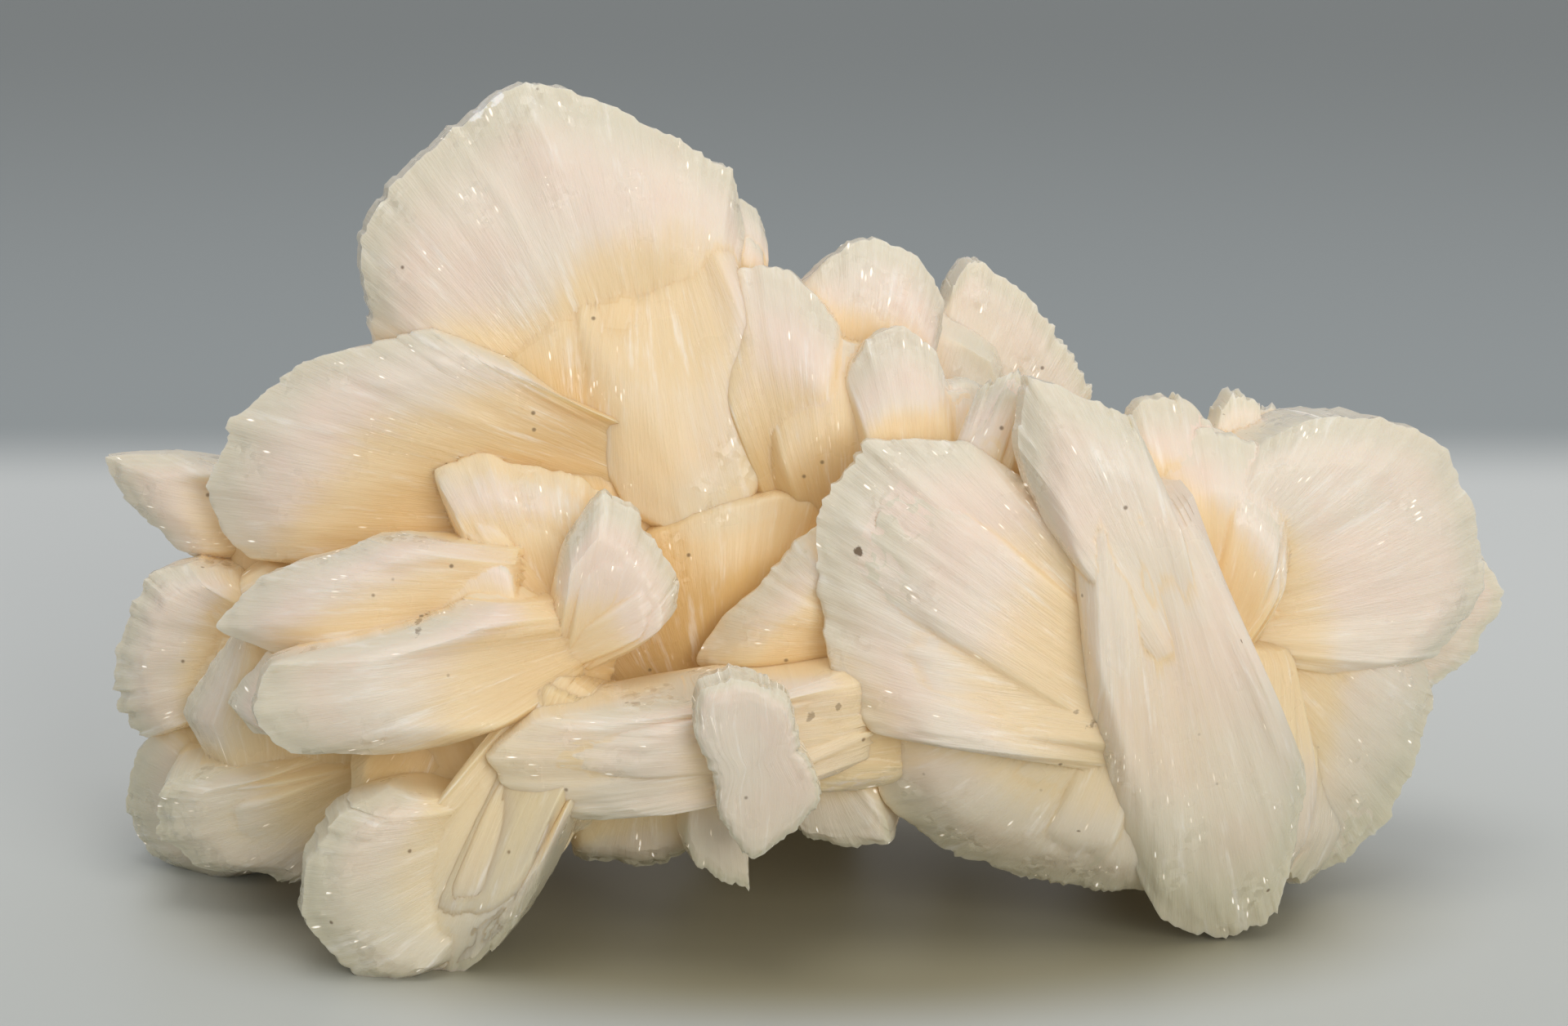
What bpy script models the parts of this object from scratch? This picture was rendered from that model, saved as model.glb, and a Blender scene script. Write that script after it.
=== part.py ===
"""Stilbite mineral specimen: fans and sheaves of tabular crystals, intergrown in one free-standing cluster.

Units in the tables are millimetres and degrees. X runs to the right, Y away from the front, Z up, and the
specimen stands on Z = 0.
"""

import math
from dataclasses import dataclass

import bmesh
import bpy
from mathutils import Matrix, Vector

MM = 0.001

# Middle of the specimen's footprint in the tables' own coordinates
CENTRE_X = -0.1
CENTRE_Y = -0.6

# How a crystal plate is shaped: its broad face is a low dome inside a bevelled rim
FACE_INSET = 0.76
FACE_HEIGHT = 0.80
WAIST_SHARE = 0.30
WAIST_LEAST = 3.0

# A sweep this wide describes a plate all round its hub, with no waist
FULL_SWEEP = 300.0

# Depth of the block below the ground plane that trims the feet flat
TRIM_DEPTH = 20.0
TRIM_SIDE = 200.0

MERGE_DISTANCE = 0.000001

STONE_COLOUR = (0.85, 0.70, 0.52, 1.0)
STONE_ROUGHNESS = 0.45


@dataclass(frozen=True)
class Crystal:
    """One tabular crystal: a fan that opens from its hub, in the plane of its broad face."""

    name: str
    hub: tuple
    sweep: tuple
    reach: tuple
    thick: float
    turn: float = 0.0
    nod: float = 0.0


# Crystals seen from the front, from the top of the specimen down
UPPER = (
    Crystal("crown", (-15.5, 4, 41), (166, 46), (22, 26.5, 28, 28.5, 29.5, 26, 23.5, 21, 14), 16, 8, 9),
    Crystal("crown_root", (-17, -2, 34), (128, 60), (12, 16, 18, 17, 13), 14, -6, 6),
    Crystal("shield", (-13.5, -1.5, 56), (252, 318), (10, 17, 22.5, 24.5, 24, 22.5, 14), 10, -3, 25),
    Crystal("crown_wedge", (-9.5, -1, 49), (120, 50), (9.5, 10.5, 10, 9, 7), 8, 16, 10),
    Crystal("left_fan", (-17, -4, 37), (118, 206), (8, 12.5, 19, 22.5, 27.5, 32, 34.5, 32.5, 20), 15, -10, 9),
    Crystal("peak_small", (0, -5, 34), (130, 72), (12, 18, 21.5, 20.5, 17, 13), 10, -6, 12),
    Crystal("peak_pale", (3, 2, 37), (126, 42), (11, 14, 16.5, 19, 18.5, 16, 11), 12, 6, 13),
    Crystal("peak_glass", (13, 11, 32), (98, 22), (15, 20.5, 18.5, 17, 15.5, 15, 13), 5, 14, 6),
    Crystal("saddle", (3, -6, 32), (132, 60), (12, 15, 17.5, 16, 11), 10, -4, 12),
    Crystal("round_lobe", (8.5, -9, 34), (124, 58), (8, 13, 15.5, 16.5, 14.5, 11, 7), 11, 8, 12),
    Crystal("notch", (11, -7, 30), (112, 52), (13, 16, 16, 15, 11), 10, 10, 6),
    Crystal("striated_bundle", (12, -13, 32.5), (92, 54), (8, 13.5, 16, 16, 11), 9, -8, 13),
    Crystal("yellow_recess", (18, -12, 22), (132, 48), (15, 18, 20, 20, 17, 12), 11, 4, 8),
)

MIDDLE = (
    Crystal("left_mid_fan", (-20, -15, 24.5), (142, 80), (11, 19, 18, 16, 15, 14), 10, -6, 13),
    Crystal("small_bright", (-25, -20, 27), (158, 78), (6, 7, 7, 6, 4.5), 5, -8, 17),
    Crystal("long_bar", (-27, -14, 30), (146, 212), (8, 10, 12.5, 18.5, 22.5, 17.5, 8), 13, -7, 9),
    Crystal("small_top", (-16, -15, 32.5), (118, 66), (4, 6, 7, 4.5), 5, 10, 6),
    Crystal("glint_wedge", (-19, -19, 23.5), (104, 24), (6, 12, 14.5, 12.5, 10.5, 6), 7, 12, 8),
    Crystal("arrow_wedge", (4.5, -14, 27), (110, 214), (9, 8.5, 8.5, 9, 11.5, 14.5, 9.5), 9, -6, 8),
    Crystal("valley_slab", (-7.5, -4, 14.5), (174, 18), (14, 16, 19, 20, 23.5, 18, 13.5), 18, 0, 4),
    Crystal("left_shelf", (-28, -10, 22), (146, 216), (13, 17, 19, 18, 14), 12, -6, 3),
    Crystal("centre_fan", (24, -19, 21.5), (96, 200), (11, 14.5, 20, 30, 30, 25, 21, 18, 9), 15, -4, 14),
    Crystal("tall_upper", (28, -23, 31), (146, 80), (8, 15, 19.5, 18.5, 15.5, 11, 8), 10, 6, 13),
    Crystal("right_top", (31.5, -11, 27.5), (112, 72), (15.5, 18, 18, 16, 12), 9, 10, 8),
    Crystal("right_top_glass_a", (36, -4, 30), (101, 73), (10, 13, 14, 13.5, 10), 3.5, 16, 6),
    Crystal("right_top_glass_b", (38, -1, 29), (98, 66), (10, 13, 13.5, 12, 9), 3.5, -8, 6),
    Crystal("right_web", (33, -8, 25), (128, 40), (14, 17, 17.5, 16, 14, 11), 14, 10, 8),
    Crystal("right_mid", (34.5, -13, 25.5), (124, 34), (12, 16.5, 17.5, 16, 13, 9, 6), 9, 12, 11),
    Crystal("right_disc", (34, -9.5, 28.5), (92, -36), (10, 13, 16.5, 20, 23, 23.5, 24, 20.5, 14), 14, 18, 7),
    Crystal("right_disc_back", (46, 3, 23), (50, -60), (9, 13, 15, 13.5, 11, 9), 5, 8, 0),
    Crystal("left_backing", (-40, 2, 22), (96, 196), (11, 13, 14, 14, 13), 12, -12, 3),
    Crystal("left_tip", (-44, 4, 31), (144, 206), (8, 12.5, 18, 16, 13, 11.5, 10), 10, -10, 4),
)

LOWER = (
    Crystal(
        "mid_left_lobe", (-17.5, -19.5, 26.5), (150, 222),
        (8.5, 10, 13, 17.5, 23, 26.5, 25, 15, 9), 13, 9, 6,
    ),
    Crystal("cross_left", (1.5, -20, 20.5), (160, 208), (9, 13.5, 23.5, 28, 26.5, 22, 13), 13, 5, 0),
    Crystal("cross_right", (-8.5, -15, 17.5), (36, -20), (9, 13, 12.5, 13, 9), 12, -6, 0),
    Crystal(
        "upright_blade", (-4.5, -27.5, 19.5), (0, 330),
        (4.5, 4, 6, 7.5, 8, 5.5, 3.5, 3.5, 5.5, 8.5, 7, 6.5), 4.5, 4, -3,
    ),
    Crystal("under_bar", (1.5, -13, 15.5), (240, 336), (5, 7, 7.5, 9, 6), 10, -10, 0),
    Crystal("under_wedge", (-8, -20, 17), (248, 296), (7, 9, 10.5, 11.5, 6.5), 5, 14, 0),
    Crystal("under_mass", (-12.5, -13, 17), (212, 308), (8.5, 12.5, 11, 10.5, 7), 13, -12, -10),
    Crystal("stub_upper", (-18, -17, 16), (216, 270), (6, 7.5, 7.5, 6), 8, -8, 0),
    Crystal("stub_lower", (-19.5, -15, 13), (220, 256), (7, 10.5, 9, 5.5), 8, 12, 0),
    Crystal("left_small", (-40, -15, 19), (196, 116), (6.5, 8.5, 7.5, 7.5, 7), 9, -14, 9),
    Crystal("left_web", (-42, -6, 17), (0, 300), (9, 10, 10, 11, 11, 9), 13, -10, 0),
    Crystal("left_column", (-45.5, -1, 21), (120, 232), (8, 10.5, 12.5, 12.5, 14, 14.5, 14.5, 8.5), 13, -12, 6),
    Crystal("left_base", (-45, 1, 7.5), (122, 258), (9.5, 12, 13, 14, 14.5, 14, 11.5, 9, 8), 14, -12, -4),
    Crystal("left_base_front", (-38.5, -9, 12.5), (166, 256), (8, 15.5, 17.5, 16, 12, 11, 7.5), 14, -7, -10),
    Crystal("recess_slab", (-29, -14, 20), (205, 295), (10, 12.5, 14, 11, 7), 13, -6, 4),
    Crystal("foot_left_a", (-28.5, -23, 7.5), (138, 234), (9.5, 12, 13, 12.5, 12, 11, 10.5), 11, 10, 0),
    Crystal("foot_left_b", (-22, -23.5, 19), (212, 264), (9, 15, 19.5, 24, 20.5, 15, 8), 13, -12, 3),
    Crystal("lower_centre", (23, -20, 22), (184, 310), (19.5, 19.5, 18.5, 17, 17, 18, 19, 12), 13, -7, -16),
    Crystal("tall_lower", (27.5, -21, 33), (240, 318), (10, 14, 20, 31, 35.5, 34, 27, 21, 13.5), 12, 9, -6),
    Crystal("right_low_fan", (32, -10, 29), (276, 342), (24, 29.5, 30.5, 29.5, 27, 25, 23), 12, 13, -6),
)

# Crystals of the back: a plate turned by 180 degrees faces away, with its angle 0 towards -X
BACK = (
    Crystal("back_crown", (-16, 10, 42), (34, 126), (18, 21, 22, 20, 14), 12, 172, 16),
    Crystal("back_left_fan", (-18, 9, 30), (-24, 56), (25, 28, 27, 22, 16), 13, 194, 10),
    Crystal("back_peak", (8, 15, 26), (60, 138), (14, 20, 23, 21, 14), 11, 168, 14),
    Crystal("back_fan", (-10, 18, 22), (56, 130), (16, 22, 24, 21, 14), 12, 190, 20),
    Crystal("back_bow_left", (-2, 24, 20), (-32, 36), (14, 22, 25, 21, 13), 11, 196, 6),
    Crystal("back_bow_right", (-4, 23, 20), (148, 214), (14, 22, 25, 20, 12), 11, 166, -4),
    Crystal("back_foot", (-2, 18, 20), (236, 304), (14, 21, 24, 22, 15), 14, 184, 8),
    Crystal("back_low_left", (-16, 17, 18), (276, 350), (10, 15, 17, 15, 10), 12, 200, 6),
    Crystal("back_right_wing", (28, 4, 23), (140, 214), (15, 22, 25, 23, 15), 13, 196, 8),
    Crystal("back_right_low", (26, 8, 20), (204, 282), (14, 18, 20, 18, 12), 12, 190, 6),
    Crystal("back_right_up", (22, 8, 23), (88, 164), (13, 18, 20, 19, 13), 11, 176, 18),
    Crystal("back_blade", (12, 23, 22), (196, 280), (8, 13, 16, 15, 9), 6, 150, -6),
    Crystal("back_spray_a", (-24, 16, 26), (60, 130), (9, 13, 14, 12, 8), 8, 215, 24),
    Crystal("back_spray_b", (18, 14, 26), (150, 220), (8, 12, 14, 12, 8), 8, 140, 20),
    Crystal("back_spray_c", (2, 26, 30), (40, 110), (6, 9, 11, 10, 6), 7, 200, 30),
)

# Crystals of the two ends, the top and the underside
SIDES = (
    Crystal("side_left_up", (-42, 8, 24), (96, 200), (9, 13, 15, 14, 10), 12, -104, 8),
    Crystal("side_left_low", (-43, 8, 14), (166, 266), (11, 14, 16, 15, 12), 13, -112, -6),
    Crystal("side_left_fan", (-46, -2, 22), (64, 150), (9, 12, 13, 12, 9), 10, -80, 14),
    Crystal("side_left_back", (-26, 13, 22), (-44, 26), (12, 19, 22, 18, 11), 12, 206, 0),
    Crystal("side_right_up", (44, -2, 25), (10, 104), (11, 14, 15, 14, 10), 11, 74, 12),
    Crystal("side_right_mid", (44, 0, 22), (-70, 14), (11, 15, 17, 15, 11), 12, 66, 0),
    Crystal("side_right_low", (42, -6, 18.5), (226, 308), (12, 16, 17, 16, 11), 12, 58, -6),
    Crystal("side_right_front", (38, -14, 22), (236, 292), (14, 19, 20, 18, 12), 11, 40, -4),
    Crystal("top_left", (-32, 8, 33), (56, 188), (11, 14, 15, 14, 12), 9, 0, 68),
    Crystal("top_middle", (8, 13, 35), (24, 156), (10, 13, 14, 13, 10), 8, 10, 60),
    Crystal("top_right", (30, 5, 29), (8, 172), (12, 15, 16, 15, 12), 9, -8, 64),
    Crystal("underside_mid", (2, 2, 13), (0, 300), (17, 14, 16, 19, 15, 16), 9, 8, -84),
    Crystal("underside_left", (-28, 2, 12), (0, 300), (15, 13, 14, 16, 13, 15), 10, -12, -82),
    Crystal("underside_right", (26, -4, 13), (0, 300), (14, 13, 15, 16, 14, 13), 10, 16, -86),
    Crystal("under_spray_a", (-10, 4, 12), (230, 310), (6, 8, 9, 8, 6), 6, 30, 0),
    Crystal("under_spray_b", (14, 6, 12), (232, 306), (6, 8, 9, 8, 6), 6, -40, 0),
    Crystal("under_spray_c", (30, 8, 12), (236, 300), (8, 10, 11, 10, 7), 7, 70, 0),
    Crystal("under_spray_d", (-34, 8, 12), (240, 300), (8, 10, 11, 10, 8), 8, -50, 0),
)

CRYSTALS = UPPER + MIDDLE + LOWER + BACK + SIDES

# Solid heart of the cluster, where the crystals root: centre and half sizes of each lump
HEART = (
    ("heart_left", (-28, 1, 23), (19, 14, 13)),
    ("heart_middle", (-2, 2, 25), (20, 16, 13)),
    ("heart_right", (30, -5, 24), (17, 13, 14)),
    ("heart_crown", (-16, 3, 43), (10, 7, 14)),
)


def direction(angle):
    """Unit vector in the plate's own plane, X along the plate and Z up it."""
    return Vector((math.cos(math.radians(angle)), 0.0, math.sin(math.radians(angle))))


def outline(crystal):
    """Corner points of the plate's rim, in the plate's plane with the hub at zero."""
    start, end = crystal.sweep
    steps = len(crystal.reach) - 1
    rim = [
        direction(start + (end - start) * step / steps) * length
        for step, length in enumerate(crystal.reach)
    ]
    if abs(end - start) >= FULL_SWEEP:
        return rim
    aim = direction((start + end) / 2)
    side = Vector((-aim.z, 0.0, aim.x)) * math.copysign(1.0, end - start)
    waist = max(WAIST_LEAST, WAIST_SHARE * max(crystal.reach)) / 2
    return rim + [side * waist - aim * waist, -side * waist - aim * waist]


def plate_matrix(crystal):
    """Places the plate: nodded about X, turned about Z and moved to its hub."""
    turned = Matrix.Rotation(math.radians(crystal.turn), 4, "Z")
    nodded = Matrix.Rotation(-math.radians(crystal.nod), 4, "X")
    return Matrix.Translation(Vector(crystal.hub)) @ turned @ nodded


def stone_material(name, colour=STONE_COLOUR):
    """Pale translucent stone."""
    material = bpy.data.materials.new(name)
    material.use_nodes = True
    shader = material.node_tree.nodes["Principled BSDF"]
    shader.inputs["Base Color"].default_value = colour
    shader.inputs["Roughness"].default_value = STONE_ROUGHNESS
    material.diffuse_color = colour
    return material


def new_object(name, mesh_data):
    """Turns a bmesh into a closed object with outward normals."""
    bmesh.ops.recalc_face_normals(mesh_data, faces=mesh_data.faces)
    mesh = bpy.data.meshes.new(name)
    mesh_data.to_mesh(mesh)
    mesh_data.free()
    made = bpy.data.objects.new(name, mesh)
    bpy.context.scene.collection.objects.link(made)
    return made


def crystal_solid(crystal):
    """Bevelled plate with a low dome on both broad faces."""
    rim = outline(crystal)
    middle = sum(rim, Vector()) / len(rim)
    if abs(crystal.sweep[1] - crystal.sweep[0]) >= FULL_SWEEP:
        middle = Vector()
    half = crystal.thick / 2
    shape = bmesh.new()
    edge = [shape.verts.new(point) for point in rim]
    for front in (-1, 1):
        lift = Vector((0.0, front * half * FACE_HEIGHT, 0.0))
        inner = [shape.verts.new(middle + (point - middle) * FACE_INSET + lift) for point in rim]
        top = shape.verts.new(middle + Vector((0.0, front * half, 0.0)))
        for index in range(len(rim)):
            after = (index + 1) % len(rim)
            shape.faces.new((edge[index], edge[after], inner[after], inner[index]))
            shape.faces.new((inner[index], inner[after], top))
    shape.transform(plate_matrix(crystal))
    bmesh.ops.triangulate(shape, faces=shape.faces)
    return new_object(crystal.name, shape)


def heart_solid(name, centre, half_sizes):
    """Faceted ellipsoid inside the cluster."""
    shape = bmesh.new()
    bmesh.ops.create_icosphere(shape, subdivisions=1, radius=1.0)
    shape.transform(Matrix.Translation(Vector(centre)) @ Matrix.Diagonal((*half_sizes, 1.0)))
    return new_object(name, shape)


def ground_block():
    """Block below the ground plane that trims the feet."""
    shape = bmesh.new()
    bmesh.ops.create_cube(shape, size=1.0)
    size = Matrix.Diagonal((TRIM_SIDE, TRIM_SIDE, TRIM_DEPTH, 1.0))
    shape.transform(Matrix.Translation((0.0, 0.0, -TRIM_DEPTH / 2)) @ size)
    block = new_object("ground_block", shape)
    block.hide_render = True
    block.display_type = "WIRE"
    return block


def combine(body, other, operation):
    """Applies one exact Boolean to the body and removes the other solid."""
    modifier = body.modifiers.new(other.name, "BOOLEAN")
    modifier.operation = operation
    modifier.solver = "EXACT"
    modifier.object = other
    bpy.context.view_layer.objects.active = body
    bpy.ops.object.modifier_apply(modifier=modifier.name)
    mesh = other.data
    bpy.data.objects.remove(other)
    bpy.data.meshes.remove(mesh)


def keep_outer_shell(shape):
    """Fills the sealed pockets between crystals: only the largest connected shell stays."""
    shells = []
    unseen = set(shape.verts)
    while unseen:
        shell = []
        waiting = [unseen.pop()]
        while waiting:
            corner = waiting.pop()
            shell.append(corner)
            for edge in corner.link_edges:
                other = edge.other_vert(corner)
                if other in unseen:
                    unseen.remove(other)
                    waiting.append(other)
        shells.append(shell)
    shells.sort(key=len)
    for shell in shells[:-1]:
        bmesh.ops.delete(shape, geom=shell, context="VERTS")


def build_cluster():
    """Grows the whole specimen into one solid that stands on the ground plane."""
    lumps = [heart_solid(*lump) for lump in HEART]
    plates = [crystal_solid(crystal) for crystal in CRYSTALS]
    body = lumps[0]
    for other in lumps[1:] + plates:
        combine(body, other, "UNION")
    combine(body, ground_block(), "DIFFERENCE")

    shape = bmesh.new()
    shape.from_mesh(body.data)
    shape.transform(Matrix.Scale(MM, 4) @ Matrix.Translation((-CENTRE_X, -CENTRE_Y, 0.0)))
    bmesh.ops.remove_doubles(shape, verts=shape.verts, dist=MERGE_DISTANCE)
    keep_outer_shell(shape)
    bmesh.ops.triangulate(shape, faces=shape.faces)
    shape.to_mesh(body.data)
    shape.free()

    body.name = "stilbite_cluster"
    body.data.name = "stilbite_cluster"
    body.data.materials.append(stone_material("stilbite"))
    return body


def main():
    """Empties the scene and builds the specimen."""
    for existing in list(bpy.data.objects):
        bpy.data.objects.remove(existing)
    build_cluster()


if __name__ == "__main__":
    main()
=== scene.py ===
"""Looks of the stilbite specimen: intergrown sheaves of tabular crystals, their stone, the floor and the light.

Sizes in the crystal tables are millimetres and degrees. X runs to the right, Y away from the front, Z up.
"""

import logging
import math
from dataclasses import dataclass, field
from enum import Enum

import bpy
import numpy as np
from mathutils import Matrix, Vector


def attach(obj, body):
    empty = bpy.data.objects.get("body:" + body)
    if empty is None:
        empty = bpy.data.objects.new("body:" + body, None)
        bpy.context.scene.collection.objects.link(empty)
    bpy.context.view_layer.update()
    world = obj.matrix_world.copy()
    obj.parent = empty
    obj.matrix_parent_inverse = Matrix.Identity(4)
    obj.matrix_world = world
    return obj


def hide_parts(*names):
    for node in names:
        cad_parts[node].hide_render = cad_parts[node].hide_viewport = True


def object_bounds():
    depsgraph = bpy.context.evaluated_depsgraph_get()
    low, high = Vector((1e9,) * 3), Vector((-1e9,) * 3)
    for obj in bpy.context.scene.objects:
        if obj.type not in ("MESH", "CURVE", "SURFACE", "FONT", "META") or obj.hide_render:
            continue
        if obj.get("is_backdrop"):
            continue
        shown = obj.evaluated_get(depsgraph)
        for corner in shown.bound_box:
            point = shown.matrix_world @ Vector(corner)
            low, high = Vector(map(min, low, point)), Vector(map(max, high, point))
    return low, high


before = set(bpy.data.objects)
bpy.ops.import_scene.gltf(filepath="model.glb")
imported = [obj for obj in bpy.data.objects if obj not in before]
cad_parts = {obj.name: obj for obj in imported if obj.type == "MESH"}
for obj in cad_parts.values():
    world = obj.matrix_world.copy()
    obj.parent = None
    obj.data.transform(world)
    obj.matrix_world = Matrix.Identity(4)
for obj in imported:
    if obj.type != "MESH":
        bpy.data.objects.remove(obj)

LOG = logging.getLogger("stilbite")

MM = 0.001
NODE = "stilbite_cluster"

# Middle of the specimen's footprint in the tables' own coordinates
CENTRE = (-0.1, -0.6)

# How far a rim follows a smooth curve through its corners rather than straight edges
CURVED = 0.35

# Leaves that grow on a crystal's faces: share of its fan and of its reach, how proud they stand in mm,
# how much they round off at their sides, share of its thickness, and how far they lean in degrees
LEAF_WIDTH = (0.22, 0.60)
LEAF_REACH = (0.72, 0.98)
LEAF_PROUD = (-0.7, 0.1)
LEAF_ROUND = 0.05
LEAF_THICKNESS = 0.6
LEAF_LEAN = 3.5

# A crystal narrows to a waist behind its hub, unless it spreads all round
WAIST_SHARE = 0.30
WAIST_LEAST = 3.0
FULL_SWEEP = 300.0


@dataclass(frozen=True)
class Growth:
    """How a crystal's lamellae show on its faces.

    Attributes:
        blade: Mean width of one sub-blade at the rim, in mm.
        relief: Height differences between neighbouring sub-blades, in mm.
        striation: Height of the fine lines that run from root to rim, in mm.
        ragged: How far single blades stop short or run past the rim, in mm.
        terrace: Height of the steps that follow the rim, in mm.
        swell: Height of the soft waves over a whole face, in mm.
        facet: Slope of the flat faces that a broad face is made of.
        dome: How much a face falls from its middle to its rim, in mm.
        shoulder: Where the bevel at the rim begins, as a share of the way out.
        bevel: How much the bevel falls, in mm.
        root: Thickness at the root, as a share of the whole.
        dive: How far the root sinks into the stone behind it, in mm.
    """

    blade: float
    relief: float
    striation: float
    ragged: float
    terrace: float
    swell: float
    facet: float
    dome: float
    shoulder: float
    bevel: float
    root: float
    dive: float


class Habit(Enum):
    """The kinds of crystal that grow on the specimen."""

    BROAD = Growth(2.2, 0.07, 0.035, 0.55, 0.16, 0.45, 0.12, 0.4, 0.80, 1.6, 0.70, 2.2)
    SHEAF = Growth(1.5, 0.16, 0.060, 0.60, 0.18, 0.35, 0.12, 0.4, 0.76, 1.8, 0.70, 2.2)
    LOBE = Growth(2.0, 0.12, 0.045, 0.45, 0.18, 0.30, 0.16, 0.4, 0.66, 2.2, 0.75, 1.6)
    BLADE = Growth(1.5, 0.14, 0.040, 0.75, 0.12, 0.16, 0.04, 0.1, 0.88, 0.6, 0.90, 0.3)
    LATH = Growth(1.4, 0.16, 0.060, 0.55, 0.18, 0.35, 0.12, 0.5, 0.70, 2.2, 0.95, 0.2)


@dataclass(frozen=True)
class Crystal:
    """One tabular crystal: a fan that opens from its hub, in the plane of its broad face.

    Attributes:
        name: What the crystal is called.
        hub: Place of the root, in mm.
        sweep: First and last angle of the fan, in degrees from the plate's right.
        reach: Distance from hub to rim at evenly spaced angles, in mm.
        thick: Thickness, in mm.
        turn: Turn about the upright axis, in degrees.
        nod: How far the top leans back, in degrees.
        habit: The kind of crystal.
        tint: From -1, grey and glassy, to 1, deep amber.
        lay: Where the lamellae of a crystal that spreads all round point, in degrees from straight up.
        sink: How much further the root sinks into the stone behind it, in mm.
    """

    name: str
    hub: tuple[float, float, float]
    sweep: tuple[float, float]
    reach: tuple[float, ...]
    thick: float
    turn: float = 0.0
    nod: float = 0.0
    habit: Habit = Habit.SHEAF
    tint: float = 0.0
    lay: float = 0.0
    sink: float = 0.0

    @property
    def is_full(self) -> bool:
        """Whether the crystal spreads all round its hub."""
        return abs(self.sweep[1] - self.sweep[0]) >= FULL_SWEEP

    def leaf(self, random: np.random.Generator, number: int) -> "Crystal":
        """A thinner crystal that grew on this one's face, over a part of its fan.

        Args:
            random: Source of the leaf's random sizes.
            number: Which leaf it is.

        Returns:
            The leaf.
        """
        width = random.uniform(*LEAF_WIDTH)
        first = random.uniform(0.02, 0.98 - width)
        share = random.uniform(*LEAF_REACH)
        points = max(4, round(len(self.reach) * width) + 2)
        steps = np.linspace(0.0, 1.0, points)
        places = (first + width * steps) * (len(self.reach) - 1)
        reach = np.interp(places, np.arange(len(self.reach)), self.reach) * share
        reach *= 1 - LEAF_ROUND * np.abs(2 * steps - 1) ** 2.5
        low, high = self.sweep
        sweep = (low + (high - low) * first, low + (high - low) * (first + width))
        proud = random.uniform(*LEAF_PROUD)
        thick = self.thick * LEAF_THICKNESS
        shift = Vector((0.0, -(self.thick - thick) / 2 - proud, 0.0))
        turned = Matrix.Rotation(math.radians(self.turn), 3, "Z")
        nodded = Matrix.Rotation(-math.radians(self.nod), 3, "X")
        hub = Vector(self.hub) + turned @ nodded @ shift
        lean = random.uniform(-LEAF_LEAN, LEAF_LEAN, 2)
        return Crystal(
            f"{self.name}_leaf_{number}", tuple(hub), sweep, tuple(float(r) for r in reach), thick,
            self.turn + float(lean[0]), self.nod + float(lean[1]), self.habit, self.tint, 0.0, self.sink,
        )

    def matrix(self) -> Matrix:
        """Place of the plate in the specimen, still in mm."""
        turned = Matrix.Rotation(math.radians(self.turn), 4, "Z")
        nodded = Matrix.Rotation(-math.radians(self.nod), 4, "X")
        shift = Matrix.Translation((-CENTRE[0], -CENTRE[1], 0.0))
        return shift @ Matrix.Translation(Vector(self.hub)) @ turned @ nodded


class Grain:
    """Smooth random patterns that are the same on every run."""

    SIZE = 64

    def __init__(self, seed: int) -> None:
        """Fills the pattern's table.

        Args:
            seed: Number that picks the pattern.
        """
        self.random = np.random.default_rng(seed)
        self.table = self.random.uniform(-1.0, 1.0, (self.SIZE, self.SIZE))

    def waves(self, x: np.ndarray, y: np.ndarray) -> np.ndarray:
        """Soft noise with one wave to each unit of x and y.

        Args:
            x: First coordinate of each point.
            y: Second coordinate of each point.

        Returns:
            Heights from about -1 to 1.
        """
        left, low = np.floor(x), np.floor(y)
        a, b = x - left, y - low
        a, b = a * a * (3 - 2 * a), b * b * (3 - 2 * b)
        i, j = left.astype(int) % self.SIZE, low.astype(int) % self.SIZE
        right, high = (i + 1) % self.SIZE, (j + 1) % self.SIZE
        near = self.table[i, j] * (1 - a) + self.table[right, j] * a
        far = self.table[i, high] * (1 - a) + self.table[right, high] * a
        return near * (1 - b) + far * b


def smoothstep(low: float, high: float, value: np.ndarray) -> np.ndarray:
    """Eases from 0 at low to 1 at high.

    Args:
        low: Value that gives 0.
        high: Value that gives 1.
        value: Values to ease.

    Returns:
        The eased values.
    """
    t = np.clip((value - low) / (high - low), 0.0, 1.0)
    return t * t * (3 - 2 * t)


def smooth_curve(points: np.ndarray, where: np.ndarray, closed: bool) -> np.ndarray:
    """Runs a smooth curve through points.

    Args:
        points: Points that the curve passes, one a row.
        where: Places along the curve, from 0 at the first point to 1 at the last.
        closed: Whether the curve returns to its first point.

    Returns:
        One point of the curve for each place.
    """
    count = len(points)
    spans = count if closed else count - 1
    at = np.clip(where, 0.0, 1.0) * spans
    start = np.minimum(at.astype(int), spans - 1)
    t = (at - start)[:, None]
    if closed:
        p0, p1, p2, p3 = (points[(start + k) % count] for k in (-1, 0, 1, 2))
    else:
        padded = np.vstack((2 * points[0] - points[1], points, 2 * points[-1] - points[-2]))
        p0, p1, p2, p3 = (padded[start + k] for k in (0, 1, 2, 3))
    bend = 2 * p0 - 5 * p1 + 4 * p2 - p3
    smooth = 0.5 * (2 * p1 + (p2 - p0) * t + bend * t**2 + (3 * p1 - p0 - 3 * p2 + p3) * t**3)
    straight = p1 + (p2 - p1) * t
    return CURVED * smooth + (1 - CURVED) * straight


@dataclass(frozen=True)
class Fineness:
    """How densely a crystal is meshed.

    Attributes:
        spacing: Distance between points along the rim, in mm.
        rows: Rows of points from root to rim.
        least: Fewest columns of points.
        most: Most columns of points.
        leaves: How many leaves grow on each crystal.
    """

    spacing: float
    rows: int
    least: int
    most: int
    leaves: int


FRONT = Fineness(0.30, 28, 30, 230, 3)
REAR = Fineness(0.55, 20, 24, 110, 2)


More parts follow.
